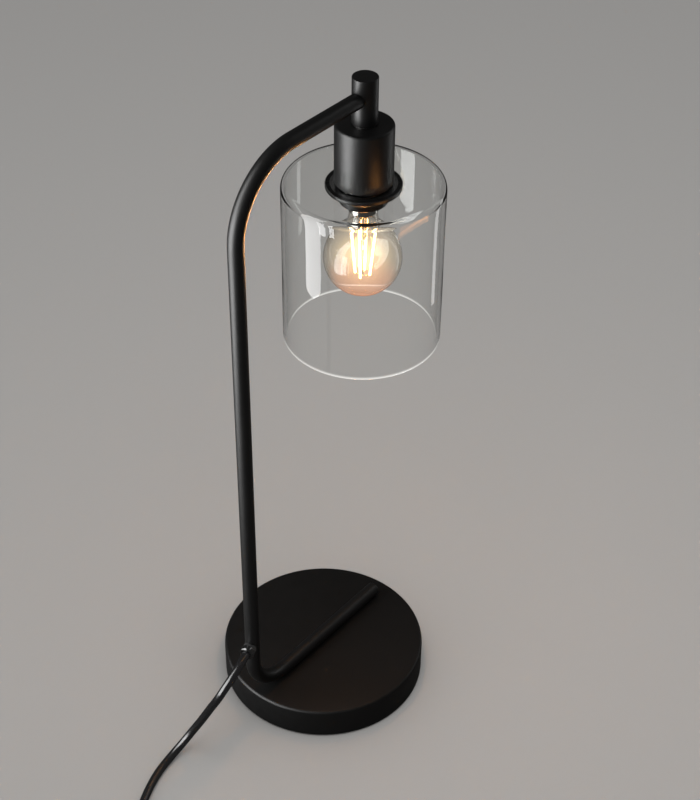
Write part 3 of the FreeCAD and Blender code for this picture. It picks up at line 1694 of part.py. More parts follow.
    body = doc.addObject("PartDesign::Body", "switch_rocker_blank")
    profile = outline(
        sketch_on(body, "XZ_Plane", "RockerProfile"),
        [
            ("-rockerLength / 2 + rockerFootInset", "-rockerHeight / 2 + rockerFootRise"),
            ("rockerLength / 2 - rockerFootInset", "-rockerHeight / 2 + rockerFootRise"),
            ("rockerLength / 2 - rockerSideDraft", "rockerHeight / 2 - rockerEdgeDrop"),
            ("rockerLength / 2 - rockerPlay", "rockerHeight / 2 + rockerCrown"),
            ("rockerLength / 4", "rockerHeight / 2 + rockerQuarter"),
            ("0", "rockerHeight / 2 + rockerDip"),
            ("-rockerLength / 4", "rockerHeight / 2 + rockerQuarter"),
            ("-rockerLength / 2 + rockerPlay", "rockerHeight / 2 + rockerCrown"),
            ("-rockerLength / 2 + rockerSideDraft", "rockerHeight / 2 - rockerEdgeDrop"),
        ],
    )
    pad = body.newObject("PartDesign::Pad", "RockerPad")
    pad.Profile = profile
    bind(pad, Length="rockerWidth")
    pad.Midplane = True
    body.Tip = pad
    axle = turn(
        cylinder(
            "rocker_bore", "rockerPinDiameter / 2 + threadFit", "2 * rockerWidth", "0", "rockerWidth", "0"
        ),
        (1, 0, 0),
        90,
    )
    rocker = cut("switch_rocker", body, axle)
    turn(rocker, (0, 1, 0), size("rockerTilt"))
    place(rocker, cx, cy, pivot)
    keep("switch_rocker", rocker)

    strips = [
        block(
            "switch_contact_%s" % end,
            "switchContactLength",
            "switchContactWidth",
            "switchContactThickness",
            cx + " - switchContactLength / 2",
            cy + y,
            "switchWall",
        )
        for end, y in (
            ("left", " - switchContactOut - switchContactWidth"), ("right", " + switchContactOut")
        )
    ]
    group("switch_contacts", *strips)


def build_plug(start):
    """Flat two-pin plug: tapered body, ribbed strain relief and two round pins."""
    body = doc.addObject("PartDesign::Body", "plug_body_blank")
    half = "plugWidth / 2"
    profile = outline(
        sketch_on(body, "XY_Plane", "PlugOutline"),
        [
            ("0", "-plugReliefDiameter / 2 - plugShoulder"),
            ("plugLength * plugFlare", "-" + half),
            ("plugLength", "-" + half),
            ("plugLength", half),
            ("plugLength * plugFlare", half),
            ("0", "plugReliefDiameter / 2 + plugShoulder"),
        ],
    )
    pad = body.newObject("PartDesign::Pad", "PlugPad")
    pad.Profile = profile
    bind(pad, Length="plugThickness")
    pad.Midplane = True
    body.Tip = pad
    doc.recompute()
    corner = body.newObject("PartDesign::Fillet", "PlugCorners")
    corner.Base = (
        pad,
        [
            "Edge%d" % i
            for i, e in enumerate(pad.Shape.Edges, start=1)
            if abs(e.tangentAt(e.FirstParameter).z) > 0.99
        ],
    )
    bind(corner, Radius="plugCornerRadius")
    doc.recompute()
    rim = body.newObject("PartDesign::Fillet", "PlugRim")
    flat = [
        "Edge%d" % i for i, e in enumerate(corner.Shape.Edges, start=1)
        if e.BoundBox.ZLength < 0.01 and e.CenterOfMass.x < size("plugLength") - 0.1
    ]
    rim.Base = (corner, flat)
    rim.Radius = size("plugCornerRadius") / 2
    body.Tip = rim
    x = start.x + size("plugReliefLength")
    body.Placement.Base = vec(x, start.y, start.z)
    keep("plug_body", body)

    big, small = "plugReliefDiameter / 2", "cordDiameter / 2 + reliefTipWall"
    corners = [("0", "0")]
    ribs = int(round(size("reliefRibs")))
    for i in range(ribs):
        low = "plugReliefLength * %d / %d" % (i, ribs)
        wide = "%s + (%s - (%s)) * %.2f" % (small, big, small, (i + 1) / ribs)
        corners.append((wide, low))
        corners.append((wide, low + " + plugReliefLength * reliefRibShare"))
        if i < ribs - 1:
            corners.append((wide + " - reliefGroove", low + " + plugReliefLength * reliefRibShare"))
            corners.append((wide + " - reliefGroove", "plugReliefLength * %d / %d" % (i + 1, ribs)))
    corners.append((big, "plugReliefLength"))
    corners.append(("0", "plugReliefLength"))
    relief = turned("plug_relief", corners)
    relief.Placement = FreeCAD.Placement(start, FreeCAD.Rotation(vec(0, 1, 0), 90))

    pins = []
    for end, sign in (("left", -1), ("right", 1)):
        rod = doc.addObject("Part::Cylinder", "pin_rod_" + end)
        bind(rod, Radius="pinDiameter / 2", Height="pinLength")
        rod.Placement = FreeCAD.Placement(
            vec(x + size("plugLength"), start.y + sign * size("pinSpacing") / 2, start.z),
            FreeCAD.Rotation(vec(0, 1, 0), 90),
        )
        doc.recompute()
        tip = doc.addObject("Part::Fillet", "pin_tip_" + end)
        tip.Base = rod
        far = max(
            (i for i, e in enumerate(rod.Shape.Edges, start=1) if isinstance(e.Curve, Part.Circle)),
            key=lambda i: rod.Shape.Edges[i - 1].Curve.Center.x,
        )
        tip.Edges = [(far, size("pinDiameter") / 5, size("pinDiameter") / 5)]
        pins.append(tip)
    group("plug_pins", *pins)


build_base()
build_tube()
build_gland()
build_head()
build_lampholder()
build_shade()
build_bulb()
build_wires()
plug_start = build_cords()
build_switch()
build_plug(plug_start)

doc.recompute()
for obj in doc.Objects:
    if "Invalid" in obj.State or "Error" in obj.State:
        raise RuntimeError("failed object: %s %s" % (obj.Name, obj.State))
total = 0
for name, obj in nodes.items():
    shape = obj.Shape
    if shape.isNull() or not shape.isValid() or not shape.Solids:
        raise RuntimeError("bad shape: " + name)
    facets = sum(len(solid.tessellate(0.1)[1]) for solid in shape.Solids)
    total += facets
    print("%-18s solids %d volume %.1f facets %d" % (name, len(shape.Solids), shape.Volume, facets))
    shape.exportStep("parts/%s.step" % name)
print("nodes", len(nodes), "facets", total)
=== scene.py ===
import math

import bmesh
import bpy
import numpy as np
from mathutils import Matrix, Vector


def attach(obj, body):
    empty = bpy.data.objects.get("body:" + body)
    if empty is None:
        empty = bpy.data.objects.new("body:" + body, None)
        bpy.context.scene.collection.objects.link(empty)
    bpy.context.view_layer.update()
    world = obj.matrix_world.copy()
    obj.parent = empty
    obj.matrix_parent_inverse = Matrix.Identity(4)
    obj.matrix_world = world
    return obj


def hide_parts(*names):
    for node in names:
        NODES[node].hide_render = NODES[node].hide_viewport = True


# Table lamp: a weighted round base, one bent tube that is foot, post and arm, a stem and a cup on
# the arm's end, a clear glass cylinder round a lit ball bulb, and a black cord with its switch.
# The origin is the centre of the base on the table, and the arm points along +X. Shapes and cords
# are in millimetres. Camera, materials, stage and lights are in metres.

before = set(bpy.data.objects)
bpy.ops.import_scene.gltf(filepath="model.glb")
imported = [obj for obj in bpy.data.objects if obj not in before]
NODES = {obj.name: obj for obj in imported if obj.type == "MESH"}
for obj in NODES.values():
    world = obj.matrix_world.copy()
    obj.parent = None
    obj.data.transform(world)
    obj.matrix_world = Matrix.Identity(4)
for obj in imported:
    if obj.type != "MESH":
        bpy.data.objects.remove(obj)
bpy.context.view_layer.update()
MM = 0.001
ORIGIN, UP = (0, 0, 0), (0, 0, 1)


def new_object(name, data):
    """A new object of the scene that holds this data."""
    item = bpy.data.objects.new(name, data)
    bpy.context.scene.collection.objects.link(item)
    return item


# ---------------------------------------------------------------- camera
LENS = 75.15
CAMERA_AT = (-0.57953, -0.49017, 0.83877)
HEADING, DIP, ROLL = 0.68102, 0.68107, -0.009908
NEAREST, FARTHEST = 0.05, 20


def set_camera():
    """Camera at the photograph's place: ahead, right and down are its three directions."""
    ahead = np.array(
        [math.cos(HEADING) * math.cos(DIP), math.sin(HEADING) * math.cos(DIP), -math.sin(DIP)]
    )
    level = np.array([math.sin(HEADING), -math.cos(HEADING), 0.0])
    below = np.cross(ahead, level)
    right = math.cos(ROLL) * level + math.sin(ROLL) * below
    down = -math.sin(ROLL) * level + math.cos(ROLL) * below
    data = bpy.data.cameras.new("photo_view")
    data.lens = LENS
    data.clip_start, data.clip_end = NEAREST, FARTHEST
    camera = new_object("photo_view", data)
    turn = Matrix(np.stack([right, -down, -ahead], axis=1).tolist()).to_4x4()
    camera.matrix_world = Matrix.Translation(CAMERA_AT) @ turn
    bpy.context.scene.camera = camera


# ---------------------------------------------------------------- shapes
MERGE = 2e-7
CRISP = 35.0
STEEP = 0.9


def rounded(corners, steps):
    """Outline through flat corners, each given by two coordinates and its rounding. An arc leaves
    one side at the rounding times the tangent of half the turn from the corner, and joins the
    other side at the same distance. The last corner's neighbour is the first."""
    corners = np.array(corners, float)
    flat, radii = corners[:, :2], corners[:, 2]
    pieces = []
    for i, radius in enumerate(radii):
        before, here, after = flat[i - 1], flat[i], flat[(i + 1) % len(flat)]
        if radius <= 0:
            pieces.append(here[None])
            continue
        u = (here - before) / np.linalg.norm(here - before)
        v = (after - here) / np.linalg.norm(after - here)
        turn = math.acos(float(np.clip(u @ v, -1, 1)))
        start = here - u * radius * math.tan(turn / 2)
        side = v - (v @ u) * u
        side /= np.linalg.norm(side)
        a = np.linspace(0, turn, steps + 1)[:, None]
        pieces.append(start + side * radius * (1 - np.cos(a)) + u * radius * np.sin(a))
    return np.concatenate(pieces)


def subdivided(outline, part):
    """The closed outline with each longer side split into equal parts of at least this length."""
    pieces = []
    for a, b in zip(outline, np.roll(outline, -1, axis=0)):
        count = max(1, int(np.linalg.norm(b - a) / part))
        pieces.append(a + (b - a) * np.linspace(0, 1, count, endpoint=False)[:, None])
    return np.concatenate(pieces)


def grid_faces(rows, around, loop):
    """Four-sided faces between closed rings. With loop, the last ring joins the first."""
    i, j = np.meshgrid(np.arange(rows if loop else rows - 1), np.arange(around), indexing="ij")
    i, j = i.ravel(), j.ravel()
    up, on = (i + 1) % rows, (j + 1) % around
    return np.stack([i * around + j, i * around + on, up * around + on, up * around + j], axis=1)


def finished_mesh(name, points, faces, material, sharp=CRISP):
    """A mesh object from points and faces in place. Points that meet are merged, faces are turned
    outwards, and edges that turn by more than the sharp angle stay crisp."""
    mesh = bpy.data.meshes.new(name)
    mesh.from_pydata(points.reshape(-1, 3).tolist(), [], faces.tolist())
    soft = bmesh.new()
    soft.from_mesh(mesh)
    bmesh.ops.remove_doubles(soft, verts=soft.verts, dist=MERGE)
    bmesh.ops.recalc_face_normals(soft, faces=soft.faces)
    soft.to_mesh(mesh)
    soft.free()
    mesh.shade_smooth()
    mesh.set_sharp_from_angle(angle=math.radians(sharp))
    mesh.materials.append(material)
    return new_object(name, mesh)


def turned(
    name, outline, material, around, centre=ORIGIN, axis=UP, loop=False, ripple=None, sharp=CRISP
):
    """Surface turned about an axis: the outline's (radius, height) carried round a full circle.
    The radius may get a ripple, a function of the angle, the height and the radius."""
    radius, height = np.array(outline, float).T * MM
    angle = np.linspace(0, 2 * math.pi, around, endpoint=False)
    a, r = np.meshgrid(angle, radius)
    h = np.meshgrid(angle, height)[1]
    if ripple is not None:
        r = r + ripple(a, h / MM, r / MM) * MM
    axis = np.array(axis, float)
    axis /= np.linalg.norm(axis)
    aside = np.array((1, 0, 0) if abs(axis[2]) > STEEP else UP, float)
    aside = aside - (aside @ axis) * axis
    aside /= np.linalg.norm(aside)
    across = np.cross(axis, aside)
    points = (
        np.array(centre, float) * MM
        + (r * np.cos(a))[..., None] * aside
        + (r * np.sin(a))[..., None] * across
        + h[..., None] * axis
    )
    return finished_mesh(name, points, grid_faces(len(radius), around, loop), material, sharp)


def swept_flat(name, path, radius, material, around):
    """Round bar along a path in the upright plane through X. Each ring spans that plane's normal
    and the cross product of the path's own direction with it, and flat discs close both ends."""
    path = path * MM
    ahead = np.gradient(path, axis=0)
    ahead /= np.linalg.norm(ahead, axis=1)[:, None]
    normal = np.array([0.0, 1.0, 0.0])
    across = np.cross(ahead, normal)
    a = np.linspace(0, 2 * math.pi, around, endpoint=False)
    rings = path[:, None] + radius * MM * (
        np.cos(a)[None, :, None] * normal + np.sin(a)[None, :, None] * across[:, None]
    )
    ends = [np.repeat(path[k][None, None], around, axis=1) for k in (0, -1)]
    points = np.concatenate([ends[0], rings, ends[1]])
    return finished_mesh(name, points, grid_faces(len(path) + 2, around, False), material)


def rod(name, a, b, radius, material, around, rounding):
    """Straight round rod from a to b with rounded ends."""
    length = float(np.linalg.norm(b - a))
    corners = [(0, 0, 0), (radius, 0, rounding), (radius, length, rounding), (0, length, 0)]
    return turned(name, rounded(corners, steps=4), material, around, a, b - a)


def joined(name, pieces):
    """Several pieces as one object."""
    merged = bmesh.new()
    for piece in pieces:
        merged.from_mesh(piece.data)
    mesh = pieces[0].data
    merged.to_mesh(mesh)
    merged.free()
    for piece in pieces[1:]:
        bpy.data.objects.remove(piece)
    pieces[0].name = name
    return pieces[0]


def dress(piece, body, slot, *nodes):
    """Puts the piece on its body, in place of these CAD nodes. The slot is not used."""
    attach(piece, body)
    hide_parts(*nodes)


# ---------------------------------------------------------------- shader nodes
def feed(tree, node, inputs):
    """Fills inputs of a node: another node's output is linked, anything else is a constant."""
    for key, value in inputs.items():
        if isinstance(value, bpy.types.NodeSocket):
            tree.links.new(value, node.inputs[key])
        else:
            node.inputs[key].default_value = value


def add(tree, kind, inputs=None, **settings):
    """A new node with these settings and inputs."""
    node = tree.nodes.new(kind)
    for key, value in settings.items():
        setattr(node, key, value)
    feed(tree, node, inputs or {})
    return node


def calc(tree, operation, a, b, clamp=False):
    """Output of one operation on two values."""
    node = add(tree, "ShaderNodeMath", {0: a, 1: b}, operation=operation, use_clamp=clamp)
    return node.outputs["Value"]


def blended(tree, a, b, factor, blend="MIX"):
    """Output of a mix of two colours."""
    inputs = {"Factor": factor, "A": a, "B": b}
    node = add(tree, "ShaderNodeMix", inputs, data_type="RGBA", blend_type=blend)
    return node.outputs["Result"]


def new_group(name, inputs, outputs):
    """An empty node group with these sockets, and the nodes that stand for its two sides."""
    group = bpy.data.node_groups.new(name, "ShaderNodeTree")
    for way, sockets in (("INPUT", inputs), ("OUTPUT", outputs)):
        for label, kind in sockets.items():
            group.interface.new_socket(label, in_out=way, socket_type="NodeSocket" + kind)
    return group, group.nodes.new("NodeGroupInput"), group.nodes.new("NodeGroupOutput")


MOTTLE_FINER = 14.0
MOTTLE_RANGE = (0.3, 0.7)
SPECK_WIDER = 0.35
SPECK_EDGE = 0.25


def mottle_group():
    """Two tones of one finish, mixed by the mean of broad and fine noise, and the roughness that
    goes with them."""
    group, start, end = new_group(
        "mottle",
        {"Dark": "Color", "Light": "Color", "Size": "Float", "Smooth": "Float", "Rough": "Float"},
        {"Color": "Color", "Roughness": "Float"},
    )
    given = start.outputs
    place = add(group, "ShaderNodeTexCoord").outputs["Object"]
    finer = calc(group, "MULTIPLY", given["Size"], MOTTLE_FINER)
    broad, fine = (
        add(group, "ShaderNodeTexNoise", {"Vector": place, "Scale": scale, "Detail": detail})
        for scale, detail in ((given["Size"], 4), (finer, 2))
    )
    both = calc(group, "ADD", broad.outputs["Fac"], fine.outputs["Fac"])
    mean = calc(group, "MULTIPLY", both, 0.5)
    low, high = MOTTLE_RANGE
    shine = {"Value": mean, "From Min": low, "From Max": high}
    shine.update({"To Min": given["Smooth"], "To Max": given["Rough"]})
    roughness = add(group, "ShaderNodeMapRange", shine).outputs["Result"]
    colour = blended(group, given["Dark"], given["Light"], mean)
    feed(group, end, {"Color": colour, "Roughness": roughness})
    return group


def grain_group():
    """Height of a fine pebbled skin, like sprayed powder or moulded plastic, with rare specks."""
    group, start, end = new_group(
        "skin_grain", {"Size": "Float", "Specks": "Float"}, {"Height": "Float"}
    )
    given = start.outputs
    place = add(group, "ShaderNodeTexCoord").outputs["Object"]
    noise = {"Vector": place, "Scale": given["Size"], "Detail": 1.5}
    pebbles = add(group, "ShaderNodeTexNoise", noise).outputs["Fac"]
    wider = calc(group, "MULTIPLY", given["Size"], SPECK_WIDER)
    cells = add(group, "ShaderNodeTexVoronoi", {"Vector": place, "Scale": wider})
    near = {"Value": cells.outputs["Distance"], "From Max": SPECK_EDGE, "To Min": 1, "To Max": 0}
    dots = add(group, "ShaderNodeMapRange", near).outputs["Result"]
    specks = calc(group, "MULTIPLY", dots, given["Specks"])
    feed(group, end, {"Height": calc(group, "ADD", pebbles, specks)})
    return group


MOTTLE = mottle_group()
GRAIN = grain_group()


# ---------------------------------------------------------------- materials
OWN_WALL = 0.008  # a shorter mirror ray is still inside the wall of its own glass


def new_material(name):
    """A new material, its node tree and its Principled shader."""
    material = bpy.data.materials.new(name)
    material.use_nodes = True
    return material, material.node_tree, material.node_tree.nodes["Principled BSDF"]


def finish(
    name, dark, light, roughness, size, grain=1200.0, depth=0.00001, strength=0.3, specks=0.2,
    metallic=0.0, specular=0.5,
):
    """An opaque finish: mottled tone and roughness over a fine pebbled skin. Size and grain count
    the patches and pebbles in a metre, and depth is the height of the pebbles."""
    material, tree, shader = new_material(name)
    smooth, rough = roughness
    tones = {"Dark": (*dark, 1), "Light": (*light, 1), "Size": size}
    tones.update({"Smooth": smooth, "Rough": rough})
    tone = add(tree, "ShaderNodeGroup", tones, node_tree=MOTTLE)
    skin = add(tree, "ShaderNodeGroup", {"Size": grain, "Specks": specks}, node_tree=GRAIN)
    relief = {"Strength": strength, "Distance": depth, "Height": skin.outputs["Height"]}
    feed(tree, shader, {
        "Base Color": tone.outputs["Color"],
        "Roughness": tone.outputs["Roughness"],
        "Metallic": metallic,
        "Specular IOR Level": specular,
        "Normal": add(tree, "ShaderNodeBump", relief).outputs["Normal"],
    })
    return material


def mirror_ray(tree, path):
    """1 for a ray that a surface has just mirrored, 0 for all others. A ray through clear glass
    counts as glossy too, and is taken off again."""
    glossy, through = path.outputs["Is Glossy Ray"], path.outputs["Is Transmission Ray"]
    return calc(tree, "SUBTRACT", glossy, through, clamp=True)


def glass(name, tint, ior, glow=None):
    """Clear glass, which may get a painted glow in its emission. Lamp light, and what other
    surfaces mirror, pass straight through it, and a mirror ray inside its own wall still bends."""
    material, tree, shader = new_material(name)
    colour = (*tint, 1)
    feed(tree, shader, {"Base Color": colour, "Transmission Weight": 1, "Roughness": 0, "IOR": ior})
    if glow is not None:
        feed(tree, shader, {"Emission Color": glow(tree), "Emission Strength": 1.0})
    path = add(tree, "ShaderNodeLightPath")
    longer = calc(tree, "GREATER_THAN", path.outputs["Ray Length"], OWN_WALL)
    from_afar = calc(tree, "MULTIPLY", mirror_ray(tree, path), longer)
    passing = calc(tree, "MAXIMUM", path.outputs["Is Shadow Ray"], from_afar)
    through = add(tree, "ShaderNodeBsdfTransparent", {"Color": colour}).outputs["BSDF"]
    both = {"Fac": passing, 1: shader.outputs["BSDF"], 2: through}
    choose = add(tree, "ShaderNodeMixShader", both)
    feed(tree, tree.nodes["Material Output"], {"Surface": choose.outputs["Shader"]})
    return material


def glowing(name, colour, strength):
    """A surface that shines evenly in its own colour."""
    material, tree, shader = new_material(name)
    own = (*colour, 1)
    feed(tree, shader, {"Base Color": own, "Emission Color": own, "Emission Strength": strength})
    return material


def by_height(tree, start, end, level):
    """A value that rises smoothly from 0 at one height to the level at the other."""
    place = add(tree, "ShaderNodeTexCoord").outputs["Object"]
    height = add(tree, "ShaderNodeSeparateXYZ", {"Vector": place}).outputs["Z"]
    rise = {"Value": height, "From Min": start, "From Max": end, "To Max": level}
    fade = add(tree, "ShaderNodeMapRange", rise, interpolation_type="SMOOTHSTEP")
    return fade.outputs["Result"]


def tinted(tree, level, colour):
    """The colour times the level."""
    return blended(tree, (*colour, 1), level, 1.0, "MULTIPLY")


# How the painted glow in the glass rises: from one height to another, up to a level.
PAINTED_HALO_FROM_BELOW, PAINTED_HALO_FROM_ABOVE = (0.287, 0.300, 0.36), (0.333, 0.318, 1.0)
PAINTED_REFLECTION_RISE = (0.300, 0.2843, 0.2)
PAINTED_RIM_RISE = (0.2546, 0.2536, 0.34)
PAINTED_HALO_TINT, PAINTED_REFLECTION_TINT, PAINTED_RIM_TINT = (1.0, 0.70, 0.32), (1.0, 0.28, 0.03), (1.0, 0.98, 0.94)
PAINTED_HALO_SHARPNESS = 9.0


def painted_bulb_glow_of(tree):
    """Painted light in the lit bulb's glass: a painted reflection of the filaments, deep orange, in
    the lowest glass, and a painted haze of light round the filaments that is strongest where the
    glass faces the eye."""
    facing = add(tree, "ShaderNodeLayerWeight", {"Blend": 0.5}).outputs["Facing"]
    toward = calc(tree, "POWER", calc(tree, "SUBTRACT", 1.0, facing), PAINTED_HALO_SHARPNESS)
    below, above = by_height(tree, *PAINTED_HALO_FROM_BELOW), by_height(tree, *PAINTED_HALO_FROM_ABOVE)
    band = calc(tree, "MULTIPLY", below, above)
    painted_halo = tinted(tree, calc(tree, "MULTIPLY", toward, band), PAINTED_HALO_TINT)
    painted_reflection = tinted(tree, by_height(tree, *PAINTED_REFLECTION_RISE), PAINTED_REFLECTION_TINT)
    return blended(tree, painted_reflection, painted_halo, 1.0, "ADD")


def painted_rim_glow_of(tree):
    """Painted glow on the cut lower edge of the glass, as if the wall led the bulb's light down to
    it.
    """
    return tinted(tree, by_height(tree, *PAINTED_RIM_RISE), PAINTED_RIM_TINT)


POWDER_COAT = finish(
    "black_powder_coat", (0.0018, 0.0018, 0.0018), (0.0030, 0.0029, 0.0029), (0.40, 0.48),
    size=18, grain=1500, depth=0.00002, strength=0.25, specular=0.65,
)
BASE_COAT = finish(
    "black_base_coat", (0.0024, 0.0023, 0.0023), (0.0038, 0.0037, 0.0037), (0.44, 0.52),
    size=12, grain=1300, depth=0.00002, specular=0.45,
)
HOLDER_PLASTIC = finish(
    "black_holder_plastic", (0.005, 0.005, 0.005), (0.008, 0.008, 0.008), (0.28, 0.34),
    size=40, grain=2500, depth=0.000004, strength=0.1, specks=0, specular=0.4,
)
SWITCH_PLASTIC = finish(
    "black_switch_plastic", (0.011, 0.011, 0.012), (0.018, 0.018, 0.019), (0.36, 0.48),
    size=60, grain=1600, depth=0.00003, strength=0.45, specks=0.5,
)
CORD_JACKET = finish(
    "black_cord_jacket", (0.010, 0.010, 0.011), (0.016, 0.016, 0.017), (0.2, 0.28),
    size=60, grain=900, depth=0.00002, strength=0.25, specular=0.8,
)
GLAND_PLASTIC = finish(
    "black_gland_plastic", (0.010, 0.010, 0.010), (0.015, 0.015, 0.015), (0.12, 0.18),
    size=60, strength=0.15, specular=1.0,
)
RUBBER = finish(
    "black_rubber", (0.016, 0.016, 0.016), (0.028, 0.028, 0.028), (0.65, 0.8),
    size=80, grain=1500, depth=0.00003, strength=0.5,
)
FOAM = finish(
    "black_foam", (0.02, 0.02, 0.02), (0.04, 0.04, 0.04), (0.85, 0.95),
    size=60, grain=900, depth=0.0001, strength=0.8, specks=0.6,
)
CAST_IRON = finish(
    "grey_cast_iron", (0.06, 0.06, 0.062), (0.13, 0.125, 0.12), (0.55, 0.75),
    size=40, grain=500, depth=0.0001, strength=0.7, specks=0.5, metallic=0.8,
)
ZINC_STEEL = finish(
    "zinc_plated_steel", (0.46, 0.46, 0.45), (0.62, 0.61, 0.58), (0.24, 0.4),
    size=90, grain=1500, strength=0.2, specks=0.1, metallic=1.0,
)
NICKEL = finish(
    "nickel_plate", (0.55, 0.53, 0.50), (0.68, 0.66, 0.62), (0.14, 0.26),
    size=120, grain=1500, strength=0.12, specks=0, metallic=1.0,
)
BRASS = finish(
    "bare_brass", (0.56, 0.40, 0.18), (0.70, 0.53, 0.26), (0.22, 0.36),
    size=120, grain=1500, strength=0.15, specks=0, metallic=1.0,
)
WIRE_JACKET = finish("wire_jacket", (0.30, 0.12, 0.05), (0.36, 0.16, 0.07), (0.4, 0.5), size=80)
INSULATOR = finish(
    "black_cap_glass", (0.012, 0.012, 0.016), (0.02, 0.02, 0.026), (0.12, 0.2), size=80
)
# The shade's glass gets a painted glow on its lower rim.
SHADE_GLASS = glass("clear_shade_glass", (0.988, 0.995, 0.990), 1.5, painted_rim_glow_of)
# The bulb's glass gets a painted haze of light round the filaments and a painted reflection of them
# low down.
BULB_GLASS = glass("clear_bulb_glass", (1.0, 0.985, 0.955), 1.48, painted_bulb_glow_of)
STEM_GLASS = glass("stem_glass", (1.0, 0.95, 0.86), 1.5)
FILAMENT = glowing("lit_filament_coat", (1.0, 0.50, 0.15), 22.0)

# ---------------------------------------------------------------- cords
CORD = 5.2
GLAND_TURN = math.radians(18)
GLAND_WAY = np.array([-math.cos(GLAND_TURN), -math.sin(GLAND_TURN), 0.0])
POST = np.array([-68.0, 0.0, 72.0])
CORD_START = 7.5
SWITCH_AT, SWITCH_HALF, CORD_LEVEL = (-227.0, -2.0), 31.0, 6.5
LEAD_STRAIGHT, LEAD_DOWN = 8.2, 16.6
TAIL_STRAIGHT, TAIL_UP, TAIL_END, PLUG_LEVEL = 9, 20, 28, 6.85
COIL_AT = (-283.0, -43.2)
COIL_INNER, COIL_PITCH, COIL_HALVES = 18.0, 5.8, 8
COIL_LAYER, COIL_CLIMB = 5.7, 3.0
HALF_TURN_STEPS, FULLER = 10, 0.25
CURVE_ORDER, CURVE_STEPS, BEVEL_STEPS = 3, 8, 6
FLEX_ROUTE = [
    tuple(POST + CORD_START * GLAND_WAY),
    (-83.3, -5.0, 72.0),
    (-91.2, -6.3, 68.9),
    (-98.0, -5.6, 63.4),
    (-103.4, -2.8, 53.9),
    (-103.8, 3.8, 41.1),
    (-106.4, 9.3, 28.6),
    (-109.8, 14.8, 17.1),
    (-115.9, 18.2, 8.3),
    (-126.0, 19.6, 3.1),
    (-139.0, 17.6, 2.6),
    (-153.0, 12.6, 2.6),
    (-167.0, 5.6, 2.6),
    (-179.5, 0.2, 3.2),
    (-188.0, -2.0, 6.5),
    (-196.0, -2.0, 6.5),
]


def coil_points():
    """Centre line of the put-away coil. Half turns step inwards by half a pitch on the table, one
    half turn climbs to the upper layer, and half turns step outwards there. Within a half turn the
    point goes round its own centre by equal angles, and its height follows one minus the cosine of
    the angle. The points lie a little farther out than the curve that they shape."""
    low, high = CORD / 2, CORD / 2 + COIL_LAYER
    step = COIL_PITCH / 2
    outer = COIL_INNER + COIL_HALVES * step
    reach = [outer - step * k for k in range(COIL_HALVES + 1)]
    level = [low] * len(reach)
    reach += [COIL_INNER - COIL_CLIMB]
    reach += [COIL_INNER + step * (k + 1) for k in range(1, COIL_HALVES - 1)]
    level += [high] * (len(reach) - len(level))
    reach, level = np.array(reach), np.array(level)
    side = np.where(np.arange(len(reach)) % 2 == 0, 1.0, -1.0)
    across = COIL_AT[1] + side * reach
    middle = (across[1:] + across[:-1]) / 2
    radius = np.abs(across[1:] - across[:-1]) / 2
    swing = np.linspace(0, math.pi, HALF_TURN_STEPS, endpoint=False)[None]
    way = side[:-1, None]
    fuller = 1 + FULLER * (math.pi / HALF_TURN_STEPS) ** 2
    x = COIL_AT[0] - way * radius[:, None] * np.sin(swing) * fuller
    y = middle[:, None] + way * radius[:, None] * np.cos(swing) * fuller
    z = level[:-1, None] + (level[1:] - level[:-1])[:, None] * (1 - np.cos(swing)) / 2
    turns = np.stack([x.ravel(), y.ravel(), z.ravel()], axis=1)
    end = np.array([COIL_AT[0], across[-1], level[-1]])
    return turns, end


def flex(name, points, replaced):
    """One cord as a smooth curve through its route, round and of the cord's own thickness."""
    points = np.array(points, float) * MM
    data = bpy.data.curves.new(name, "CURVE")
    data.dimensions = "3D"
    line = data.splines.new("NURBS")
    line.points.add(len(points) - 1)
    line.points.foreach_set("co", np.column_stack([points, np.ones(len(points))]).ravel())
    line.order_u = CURVE_ORDER
    line.use_endpoint_u = True
    line.use_smooth = True
    data.resolution_u = CURVE_STEPS
    data.bevel_depth = CORD / 2 * MM
    data.bevel_resolution = BEVEL_STEPS
    data.use_fill_caps = True
    data.materials.append(CORD_JACKET)
    piece = new_object(name, data)
    dress(piece, "lamp", "cord_jacket", *replaced)


def lay_cords():
    """The cord from the gland to the switch, and the one from the switch to coil and plug."""
    flex("mains_flex", FLEX_ROUTE, ["mains_cord"])
    x, y = SWITCH_AT[0] - SWITCH_HALF, SWITCH_AT[1]
    lead = [(x, y, CORD_LEVEL), (x - LEAD_STRAIGHT, y, CORD_LEVEL), (x - LEAD_DOWN, y, CORD / 2)]
    turns, end = coil_points()
    tail = [end, end + (TAIL_STRAIGHT, 0, 0)]
    tail += [(end[0] + reach, end[1], PLUG_LEVEL) for reach in (TAIL_UP, TAIL_END)]
    route = np.concatenate([lead, turns, tail])
    flex("stored_flex", route, ["switch_lead", "cord_coil", "plug_lead"])


# ---------------------------------------------------------------- base and tube
TUBE_RADIUS, FOOT_END, FOOT_LEVEL = 4.5, 52, 26.55
ARM_END, ARM_LEVEL = 32.5, 408
FOOT_BEND, ARM_BEND = 30, 44
END_CAP = 1.0


def build_base():
    """Pressed cover: flat top, small round shoulder, straight rim, and its thin wall inside."""
    outline = rounded(
        [
            (0, 22, 0), (65, 22, 1.8), (65, 1, 0.25),
            (63.8, 1, 0.25), (63.8, 20.8, 0.8), (0, 20.8, 0),
        ],
        steps=8,
    )
    shell = turned("base_shell", outline, BASE_COAT, 256)
    dress(shell, "lamp", "black_metal", "base_cover")


